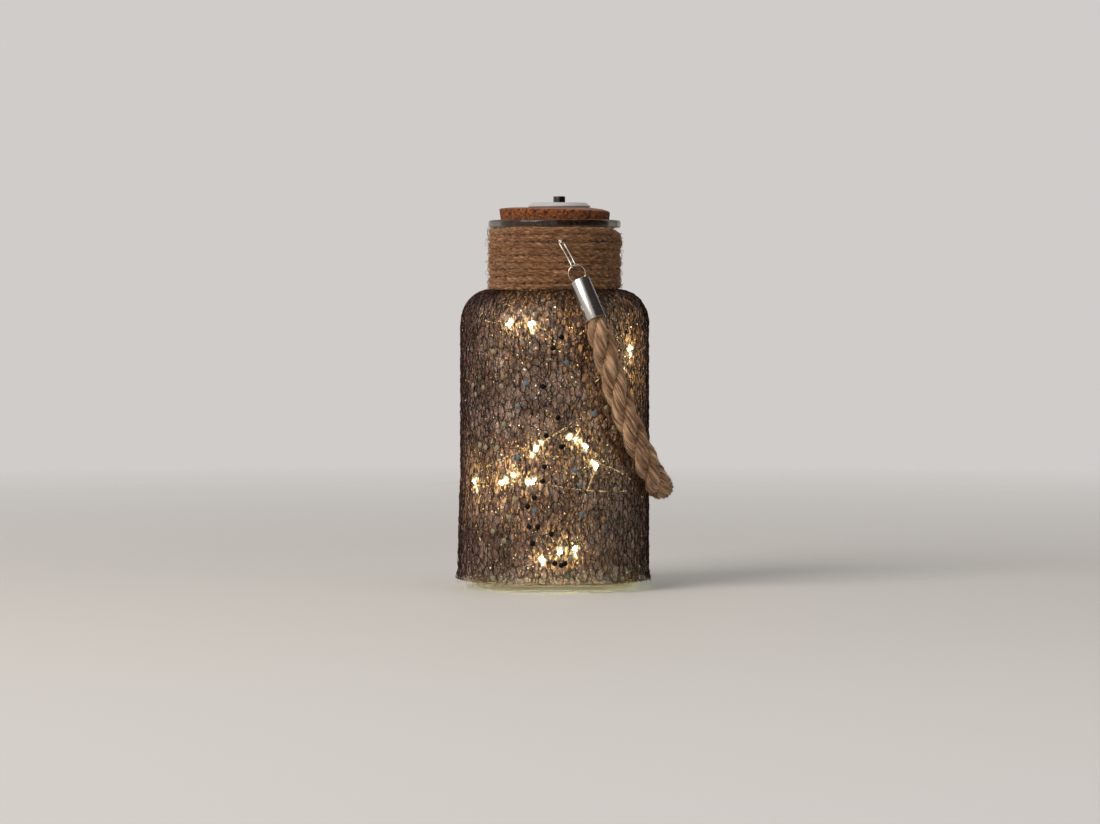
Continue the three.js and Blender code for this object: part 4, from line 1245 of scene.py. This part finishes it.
def twine_line():
    """The twine's middle line: level turns, packed close, that climb to the next row on the
    handle's side. From stud to stud on that side the rows part a little for the studs."""
    first, last = CLIMB_SHARE / 2, TWINE_ROWS - CLIMB_SHARE / 2
    top_row, row_below = TWINE_ROWS - 1, ROWS_BELOW_COLLAR - 1
    places = []
    for i in range(TWINE_POINTS):
        turn = first + (last - first) * i / (TWINE_POINTS - 1)
        nearest = round(turn)
        row = nearest - 1 + eased(held((turn - nearest + CLIMB_SHARE / 2) / CLIMB_SHARE))
        past = held(row - row_below)
        step = math.sqrt(abs(math.sin(math.pi * past)))
        even = TWINE_FIRST + (TWINE_LAST - TWINE_FIRST) * row / top_row
        below = TWINE_FIRST + (STUD_HEIGHT - TWINE_PARTING / 2 - TWINE_FIRST) * row / row_below
        above = TWINE_LAST - (TWINE_LAST - STUD_HEIGHT - TWINE_PARTING / 2) * (top_row - row)
        apart = below * (1 - past) + above * past
        aside = abs((turn + 0.5) % 1 - 0.5) * 360
        height = even + (apart - even) * held((PARTED_TO - aside) / PARTING_FADE)
        height += waved(turn, (0.2, 2.3, 1), (0.12, 5.7, 0))
        radius = TWINE_LOOK_RADIUS + (CROSSING_RADIUS - WINDING_RADIUS) * step
        radius += waved(turn, (0.22, 1.7, 2), (0.14, 4.3, 0))
        places.append(round_place(radius, TAU * turn, height))
    return places


def neck_twine():
    return laid(
        "neck_twine",
        twine_line(),
        "twine",
        Points=1900, Strands=3, Lay=14 * MM, Lay_Radius=TWINE_LOOK / 2 - TWINE_PLY,
        Strand_Radius=TWINE_PLY, Sides=10, Yarns=5, Yarn_Depth=0.14,
        Yarn_Lay=-9 * MM, Uneven=0.13,
    )


def loose_fibres():
    """Long fibres that have worked loose from the twine and lie across its rows."""
    draw = random.Random(23)
    places, edges = [], []
    for _ in range(LOOSE_FIBRES):
        start, sweep = draw.uniform(0, TAU), draw.uniform(0.12, 0.55)
        height, slope = draw.uniform(168, 200), draw.uniform(-6, 6)
        lift, bow = draw.uniform(-0.5, 0.3), draw.uniform(0.1, 0.5) + 1.6 * draw.random() ** 6
        edges += [(i, i + 1) for i in range(len(places), len(places) + FIBRE_POINTS - 1)]
        for share in (i / (FIBRE_POINTS - 1) for i in range(FIBRE_POINTS)):
            bowed = (lift + bow * math.sin(math.pi * share)) * MM
            radius = TWINE_LOOK_RADIUS + TWINE_LOOK / 2 + bowed
            z = max(FIBRES_LOW, height + slope * share + 0.8 * math.sin(5 * share + start))
            places.append(round_place(radius, start + sweep * share, min(FIBRES_HIGH, z) * MM))
    mesh = bpy.data.meshes.new("loose_fibre_lines")
    mesh.from_pydata(places, edges, [])
    return grow("neck_loose_fibres", mesh, fibre_lines_tree(), "twine_hair")


class Chain:
    """Directions and places of one chain, at the front (side -1) or the rear (side 1)."""

    def __init__(self, side):
        lean, tilt = FERRULE_LEAN, FERRULE_TILT
        self.side = side
        self.outward = Vector((0, side, 0))
        level = math.cos(tilt)
        self.down = Vector((math.sin(lean) * level, side * math.sin(tilt), -math.cos(lean) * level))
        ring_out = side * (WINDING_OUTER + RING_STAND_OFF)
        self.ring_middle = Vector((RING_ASIDE, ring_out, -RING_DROP))
        self.ring_radius = (RING_OUTER - RING_WIRE) / 2
        ring_tangent = Vector((math.cos(lean), 0, math.sin(lean)))
        foot = self.ring_middle + Vector((math.sin(lean), 0, -math.cos(lean))) * self.ring_radius
        self.ferrule_top = foot - self.down * RING_SEAT
        up = -self.down
        through = up.cross(ring_tangent).normalized()
        turn = Matrix((through, up.cross(through), up)).transposed().to_4x4()
        middle = Vector((0, 0, STUD_HEIGHT))
        self.place = Matrix.Translation(middle + self.ferrule_top) @ turn
        self.stud = Matrix.Translation(middle)

    def link_route(self):
        along = Vector((self.ring_middle.x, 0, self.ring_middle.z))
        reach = along.length - self.ring_radius
        along.normalize()
        across = Vector((-along.z, 0, along.x))
        half = STUD_DIAMETER / 2 + SEAT_GAP + LINK_WIRE / 2
        bend = RING_WIRE / 2 + SEAT_GAP + LINK_WIRE / 2
        at_leg = reach + self.ring_radius - math.sqrt(self.ring_radius**2 - half**2)
        start = WINDING_OUTER + LINK_STAND_OFF
        ring_out = WINDING_OUTER + RING_STAND_OFF
        slant, diagonal = bend / math.sqrt(2), math.sqrt(0.5)
        rise = ring_out + bend - start
        tail, back = at_leg - LINK_HOOK_BACK, ring_out - bend
        leg = [
            (1, 0, start),
            (1, reach / 4, start + rise / 6),
            (1, reach / 2, start + rise / 2),
            (1, reach * 3 / 4, start + rise * 5 / 6),
            (1, at_leg, ring_out + bend),
            (1, at_leg + slant, ring_out + slant),
            (1, at_leg + bend, ring_out),
            (1, at_leg + slant, ring_out - slant),
            (1, at_leg, back),
            (1, tail, back),
        ]
        route = [
            (0, -half, start),
            (diagonal, -half * diagonal, start),
            *leg,
            (diagonal, tail - half * diagonal, back),
            (0, tail - half, back),
            (-diagonal, tail - half * diagonal, back),
            *[(-s, d, o) for s, d, o in reversed(leg)],
            (-diagonal, -half * diagonal, start),
        ]
        return [self.stud @ (across * s * half + along * d + self.outward * o) for s, d, o in route]

    def rope_half(self):
        hug = SLEEVE_RADIUS + ROPE_GAP + ROPE_DIAMETER / 2
        places = []
        for share in (0, 0.3, 0.65, 1):
            reach = ROPE_START + (FERRULE_LENGTH - ROPE_START) * share
            places.append(self.stud @ (self.ferrule_top + self.down * reach))
        for turn_share, height_share in ROPE_ROUTE_SHARES:
            angle = turn_share * math.pi / 2
            spot = (hug * math.cos(angle), self.side * hug * math.sin(angle))
            places.append(Vector((*spot, height_share * STUD_HEIGHT)))
        return places


ROPE_START = -EYE_BAR + EYE_WIRE / 2 + SEAT_GAP
FRONT, REAR = Chain(-1), Chain(1)


def rope_handle():
    """The rope, its middle line and its length. It is thinner where the ferrules press it."""
    line, length = smooth_line(FRONT.rope_half() + REAR.rope_half()[::-1][1:], ROPE_POINTS)
    pressed = FERRULE_LENGTH - ROPE_START + SEAT_GAP
    sizes = []
    for share in (i / (ROPE_POINTS - 1) for i in range(ROPE_POINTS)):
        part = held((min(share, 1 - share) * length - pressed) / ROPE_SWELL)
        full = ROPE_END_DIAMETER + (ROPE_DIAMETER - ROPE_END_DIAMETER) * eased(part)
        sizes.append(full / ROPE_DIAMETER)
    rope = laid(
        "handle_rope_strands",
        line,
        "rope",
        sizes,
        Points=ROPE_POINTS, Strands=3, Lay=52 * MM, Sides=48, Yarns=8,
        Lay_Radius=ROPE_LOOK / 2 - ROPE_STRAND, Strand_Radius=ROPE_STRAND,
        Yarn_Depth=0.075, Yarn_Lay=-34 * MM, Uneven=0.06,
    )
    return rope, line, length


def fuzz_on(name, piece, finish, **values):
    return grow(name, piece.data.copy(), FUZZ, finish, **values)


# Metal fittings
def wire_loop(name, route, wire, count):
    """A round wire of twelve sides along a smooth closed line."""
    curve = bpy.data.curves.new(name, "CURVE")
    curve.dimensions = "3D"
    curve.bevel_depth = wire / 2
    curve.bevel_resolution = 4
    spline = curve.splines.new("POLY")
    spline.points.add(count - 1)
    for point, place in zip(spline.points, smooth_line(route, count, True)[0]):
        point.co = (*place, 1)
    spline.use_cyclic_u = True
    mesh = made_plain(shown(name + "_line", curve))
    mesh.shade_smooth()
    return mesh


def placed(mesh, matrix):
    mesh.transform(matrix)
    return mesh


def ferrule_mesh(name):
    outer, edge = FERRULE_DIAMETER / 2, FERRULE_EDGE
    inner, end = outer - FERRULE_WALL, -FERRULE_RECESS - FERRULE_END_WALL
    low = -FERRULE_LENGTH + edge
    outline = [
        (0, end),
        (inner, end),
        (inner, low),
        *arc(inner + edge, low, edge, 180, 270, 3)[1:],
        *arc(outer - edge, low, edge, 270, 360, 3),
        *arc(outer - edge, -edge, edge, 0, 90, 3),
        *arc(inner + edge, -edge, edge, 90, 180, 3),
        (inner, -FERRULE_RECESS),
        (0, -FERRULE_RECESS),
    ]
    return edged(turned(name, outline, 72))


def eye_route():
    corner, leg = EYE_HALF / 2, -FERRULE_RECESS
    flat = [
        *arc(0, RING_SEAT, EYE_HALF, 0, 180, 6),
        (-EYE_HALF, leg / 2),
        (-EYE_HALF, leg),
        (-EYE_HALF, EYE_BAR + corner),
        (-EYE_HALF + corner, EYE_BAR),
        (EYE_HALF - corner, EYE_BAR),
        (EYE_HALF, EYE_BAR + corner),
        (EYE_HALF, leg),
        (EYE_HALF, leg / 2),
    ]
    return [(x, 0, z) for x, z in flat]


def circle_route(radius, count):
    return [round_place(radius, TAU * i / count, 0) for i in range(count)]


def chain_pieces(chain, place):
    """Link, ring, ferrule and eye of one chain."""
    upright = [(x, 0, z) for x, z, _ in circle_route(chain.ring_radius, 24)]
    hook = wire_loop(f"hook_{place}_wire", chain.link_route(), LINK_WIRE, 180)
    ring = wire_loop(f"ring_{place}_wire", upright, RING_WIRE, 96)
    ferrule = ferrule_mesh(f"ferrule_{place}_tube")
    eye = wire_loop(f"eye_{place}_wire", eye_route(), EYE_WIRE, 96)
    placed(ring, chain.stud @ Matrix.Translation(chain.ring_middle))
    placed(ferrule, chain.place)
    placed(eye, chain.place)
    made = {"hook": (hook, "wire"), "ring": (ring, "ring")}
    made |= {"ferrule": (ferrule, "polished"), "eye": (eye, "wire")}
    return {kind: dressed(shown(mesh.name, mesh), look) for kind, (mesh, look) in made.items()}


def joined(name, meshes):
    """One mesh of several."""
    places, faces = [], []
    for mesh in meshes:
        start = len(places)
        places += [v.co.copy() for v in mesh.vertices]
        faces += [[start + i for i in f.vertices] for f in mesh.polygons]
    return plain_mesh(name, places, faces)


def collar_with_studs():
    """The wire under the twine, with a stud that stands out at the front and at the rear."""
    reach = WINDING_OUTER + STUD_REACH
    parts = [wire_loop("collar_loop", circle_route(COLLAR_RADIUS, 48), COLLAR_WIRE, 160)]
    tip, shank = STUD_TIP / 2, STUD_DIAMETER / 2
    head = arc(0, reach, tip, math.degrees(math.asin(shank / tip)) - 90, 90, 12)[:-1]
    outline = [(0, COLLAR_RADIUS), (shank, COLLAR_RADIUS), *head, (0, reach + tip)]
    for side in (-1, 1):
        stud = turned("stud", outline, 24)
        parts.append(placed(stud, Matrix.Rotation(-side * math.pi / 2, 4, "X")))
    mesh = edged(joined("collar_wire_studs", parts))
    placed(mesh, Matrix.Translation((0, 0, STUD_HEIGHT)))
    return dressed(shown("collar_wire_studs", mesh), "wire")


# Stopper and light module
ASIDE = Matrix.Translation((MODULE_ASIDE, 0, 0))
HOUSING_ROUND = 0.3 * MM


def cork_stopper():
    """The cork, cut a little askew at its top, with a bore and a level place for the module."""
    bore = MODULE_RADIUS + SEAT_GAP
    foot = JAR_HEIGHT - CORK_INSERTION
    edge = foot + CORK_LENGTH
    level = CORK_TOP_RADIUS * CORK_DOME_SHARE
    sparse = [
        (bore, foot),
        (CORK_FOOT_RADIUS - CORK_CHAMFER, foot),
        (CORK_FOOT_RADIUS, foot + CORK_CHAMFER),
        (MOUTH_RADIUS - SEAT_GAP, JAR_HEIGHT - RIM_ROUND),
        (CORK_TOP_RADIUS, edge - CORK_CHAMFER),
        (CORK_TOP_RADIUS - CORK_CHAMFER, edge),
        (CORK_TOP_RADIUS + (level - CORK_TOP_RADIUS) / 3, edge + CORK_DOME * 3 / 5),
        (level, edge + CORK_DOME),
        (bore, edge + CORK_DOME),
        (bore, foot),
    ]
    mesh = turned("cork", refined(sparse, 0.7 * MM), 240, closed=True)
    for corner in mesh.vertices:
        x, y, z = corner.co
        radius = math.hypot(x, y)
        if z > JAR_HEIGHT:
            inward = held((CORK_TOP_RADIUS - radius) / (CORK_TOP_RADIUS - level))
            corner.co.z -= CORK_SLANT * (1 - inward) * x / CORK_TOP_RADIUS
        else:
            inward = held((CORK_FOOT_RADIUS - radius) / (CORK_FOOT_RADIUS - bore))
        corner.co.x += MODULE_ASIDE * inward
    return grow("cork_stopper_body", mesh, cork_tree(), "cork")


def led_housing():
    soft = HOUSING_ROUND
    inner, hole = MODULE_RADIUS - MODULE_WALL, BUTTON_RADIUS + SEAT_GAP
    low, high, ceiling = flange_top - FLANGE_HEIGHT, flange_top - soft, flange_top - TOP_PLATE
    outline = [
        (inner, low - MODULE_LENGTH),
        (MODULE_RADIUS, low - MODULE_LENGTH),
        (MODULE_RADIUS, low),
        *arc(FLANGE_RADIUS - soft, low + soft, soft, 270, 360, 3),
        *arc(FLANGE_RADIUS - soft, low + FLANGE_EDGE, soft, 0, 45, 3),
        *arc(FLANGE_RADIUS - FLANGE_BEVEL - soft, high, soft, 45, 90, 3),
        *arc(hole + soft, high, soft, 90, 180, 3),
        (hole, ceiling),
        (inner, ceiling),
    ]
    mesh = edged(turned("led_housing_shell", outline, 128, True))
    return dressed(shown("led_housing_shell", placed(mesh, ASIDE)), "white")


def push_button():
    foot, top = (corner.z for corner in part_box("push_button"))
    bore, lip = foot + BUTTON_BORE_DEPTH, foot + BUTTON_LIP_HEIGHT
    outline = [
        (0, bore),
        (BUTTON_BORE_RADIUS, bore),
        (BUTTON_BORE_RADIUS, foot),
        (BUTTON_RADIUS + BUTTON_LIP, foot),
        (BUTTON_RADIUS + BUTTON_LIP, lip),
        (BUTTON_RADIUS, lip),
        *arc(BUTTON_RADIUS - BUTTON_ROUND, top - BUTTON_ROUND, BUTTON_ROUND, 0, 90, 6),
        (BUTTON_RADIUS * 0.6, top - BUTTON_DISH),
        (0, top - 1.5 * BUTTON_DISH),
    ]
    mesh = edged(turned("push_button_cap", outline, 64))
    return dressed(shown("push_button_cap", placed(mesh, ASIDE)), "black")


# Light string
def light_string():
    """The wire and its lights, from the grommet on, with the wire's middle line and length."""
    places, marked = [(MODULE_ASIDE, STRING_EXIT_Y, string_start_z - STRING_EXIT_DROP)], []
    for degrees, radius_share, height_share, light in STRING_ROUTE_SHARES:
        angle, height = math.radians(degrees - 90), SHOULDER_START * height_share
        places.append(round_place(INNER_RADIUS * radius_share, angle, height))
        if light:
            marked.append(Vector(places[-1]))
    line, length = smooth_line(places, STRING_POINTS)
    marks = [0.0] * len(line)
    for light in marked:
        marks[int(np.argmin(np.linalg.norm(line - np.array(light), axis=1)))] = 1.0
    quarter = STRING_WIRE / 4
    size = {"Points": STRING_POINTS, "Lay": 9 * MM, "Lay_Radius": quarter, "Strand_Radius": quarter}
    wire = laid("led_string_wire", line, "wire_gold", **size, **TWO_THREADS)
    carrier = path_mesh("light_line", line, light=marks)
    size = {"Radius": LIGHT_RADIUS, "Half_Length": LIGHT_HALF_LENGTH}
    lights = grow("led_string_lights", carrier, string_lights_tree(), "lit", **size)
    return wire, lights, line, length


# The whole object
glass = glass_jar()
gauze = net_gauze()
threads = net_threads()
flakes = {"Density": 84000.0, "Size": 0.42 * MM, "Seed": 21}
glitter = grow("net_glitter", gauze.data.copy(), glitter_tree(), "glitter", **flakes)
sequins = grow("net_sequins", sequin_places(), sequin_tree(), "sequins", Seed=4)
hem, frays = hem_thread()
twine = neck_twine()
hairs = {"Density": 132000.0, "Hair_Radius": 0.06 * MM, "Seed": 31}
twine_fuzz = fuzz_on("neck_twine_fuzz", twine, "twine_hair", **hairs)
loose = loose_fibres()
rope, rope_path, rope_length = rope_handle()
hairs = {"Density": 230000.0, "Longest": 0.0042, "Hair_Radius": 0.05 * MM, "Seed": 41}
rope_fuzz = fuzz_on("handle_rope_fuzz", rope, "rope_hair", **hairs)
collar = collar_with_studs()
chains = {"front": chain_pieces(FRONT, "front"), "rear": chain_pieces(REAR, "rear")}
cork = cork_stopper()
housing = led_housing()
button = push_button()
string_wire, string_lights, string_path, string_length = light_string()

# Carried-over nodes of the module
for finish, nodes in {
    "dark": ["switch_body", "battery_holder"],
    "board": ["circuit_board"],
    "cell": ["coin_cell_lower", "coin_cell_upper", "cover_screw_left", "cover_screw_right"],
    "contact": ["contact_positive", "contact_negative"],
    "white": ["battery_cover"],
    "rubber": ["lead_grommet"],
}.items():
    for node in nodes:
        dressed(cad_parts[node], finish)

# What each piece rides on, a finish name for it, and the parts that it stands for
on_gauze = [*threads, glitter, sequins, hem, frays]
riding = [
    (glass, "jar", "clear_glass", ["glass_jar"]),
    (gauze, "jar", "copper_net", ["mesh_sleeve"]),
    *[(piece, "jar", "copper_net", []) for piece in on_gauze],
    (twine, "jar", "jute_twine", ["neck_winding"]),
    (twine_fuzz, "jar", "jute_twine", []),
    (loose, "jar", "jute_twine", []),
    (collar, "jar", "steel_wire", ["collar_wire"]),
    (rope, "handle", "jute_rope", ["handle_rope"]),
    (rope_fuzz, "handle", "jute_rope", []),
    (cork, "stopper", "cork", ["cork_stopper"]),
    (housing, "stopper", "white_plastic", ["led_housing"]),
    (button, "button", "black_plastic", ["push_button"]),
]
for place, chain in chains.items():
    for kind, piece in chain.items():
        slot = "polished_steel" if kind == "ferrule" else "steel_wire"
        riding.append((piece, "handle", slot, [f"{kind}_{place}"]))
for piece, body, slot, nodes in riding:
    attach(piece, body)
    if nodes:
        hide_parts(*nodes)

# The loops and lights stay in the jar: they ride on no body
for piece in (string_wire, string_lights):
    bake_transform(piece)
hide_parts("led_string")

string_path[::3].tolist() + [string_path[-1].tolist()]
rope_path[::4].tolist() + [rope_path[-1].tolist()]
section_length(SEAT_GAP)


# Stage: a pale floor, a pale surround, soft lamps
FLOOR_RADIUS = 1.7
CARD_RADIUS, CARD_LOW, CARD_HIGH = 1.1, -0.5, 3.0
CARD_START, CARD_SWEEP, CARD_STEPS = 4, 136, 24


def stage():
    look = Finish("stage_floor", Roughness=0.7, Base_Color="dedbd7")
    fade = look.remap(look.math("LENGTH", look.place()), 0.35, 1.5)
    look.blended(fade, look.add("ShaderNodeBsdfTransparent"))
    floor = shown("stage_floor", turned("stage_floor", [(0, 0), (FLOOR_RADIUS, 0)], 96))
    floor.data.flip_normals()
    floor.data.materials.append(look.made)
    world = bpy.data.worlds.new("surround")
    world.use_nodes = True
    bpy.context.scene.world = world
    graph = Graph(world.node_tree)
    path = graph.add("ShaderNodeLightPath")
    seen = graph.math("MAXIMUM", path["Is Camera Ray"], path["Is Glossy Ray"])
    seen = graph.math("MAXIMUM", seen, path["Is Transmission Ray"])
    lit = world.node_tree.nodes["Background"]
    graph.feed(lit.inputs["Color"], "f2f0ee")
    graph.feed(lit.inputs["Strength"], 0.3)
    pale = graph.add("ShaderNodeBackground", "d0ccc9", 1.0)
    both = graph.add("ShaderNodeMixShader", seen, Value(graph, lit), pale)
    graph.feed(world.node_tree.nodes["World Output"].inputs["Surface"], both)


def lamp(name, turn, rise, distance, size, power, colour):
    """A square soft lamp, placed by its turn to the view's right and its rise, in degrees."""
    light = bpy.data.lights.new(name, "AREA")
    light.size = size
    light.energy = power
    light.color = tone(colour)[:3]
    holder = shown(name, light)
    high = math.radians(rise)
    place = facing_view(turn) * math.cos(high) + Vector((0, 0, math.sin(high)))
    holder.location = Vector((0, 0, JAR_HEIGHT / 2)) + place * distance
    holder.rotation_euler = place.to_track_quat("Z", "Y").to_euler()


def dark_card():
    """A dark studio card at the right, which only mirrors show: it darkens that side of the
    metal."""
    count = CARD_STEPS + 1
    turns = [CARD_START + CARD_SWEEP * i / CARD_STEPS for i in range(count)]
    spots = [facing_view(turn) * CARD_RADIUS for turn in turns]
    places = [(s.x, s.y, z) for z in (CARD_LOW, CARD_HIGH) for s in spots]
    faces = [(i, i + 1, i + count + 1, i + count) for i in range(CARD_STEPS)]
    card = shown("stage_card", plain_mesh("stage_card", places, faces))
    card.data.materials.append(Finish("stage_card", Roughness=1.0, Base_Color="332f31").made)
    card.visible_camera = False
    card.visible_diffuse = False
    card.visible_shadow = False
    card.visible_transmission = False


def camera():
    data = bpy.data.cameras.new("view")
    data.sensor_width = 36
    data.lens = 126
    data.shift_y = -0.111
    data.clip_end = 50
    holder = shown("view", data)
    holder.location = CAMERA_PLACE
    holder.rotation_euler = (math.pi / 2, 0, CAMERA_TURN)
    bpy.context.scene.camera = holder


stage()
lamp("key", -46, 31, 3.0, 1.8, 66, "fff8f0")
lamp("fill", 62, 20, 2.4, 1.4, 2, "f6f6ff")
lamp("top", 0, 84, 3.2, 2.6, 14, "ffffff")
dark_card()
camera()
bpy.context.scene.view_settings.view_transform = "Standard"
bpy.context.scene.cycles.transparent_max_bounces = 24
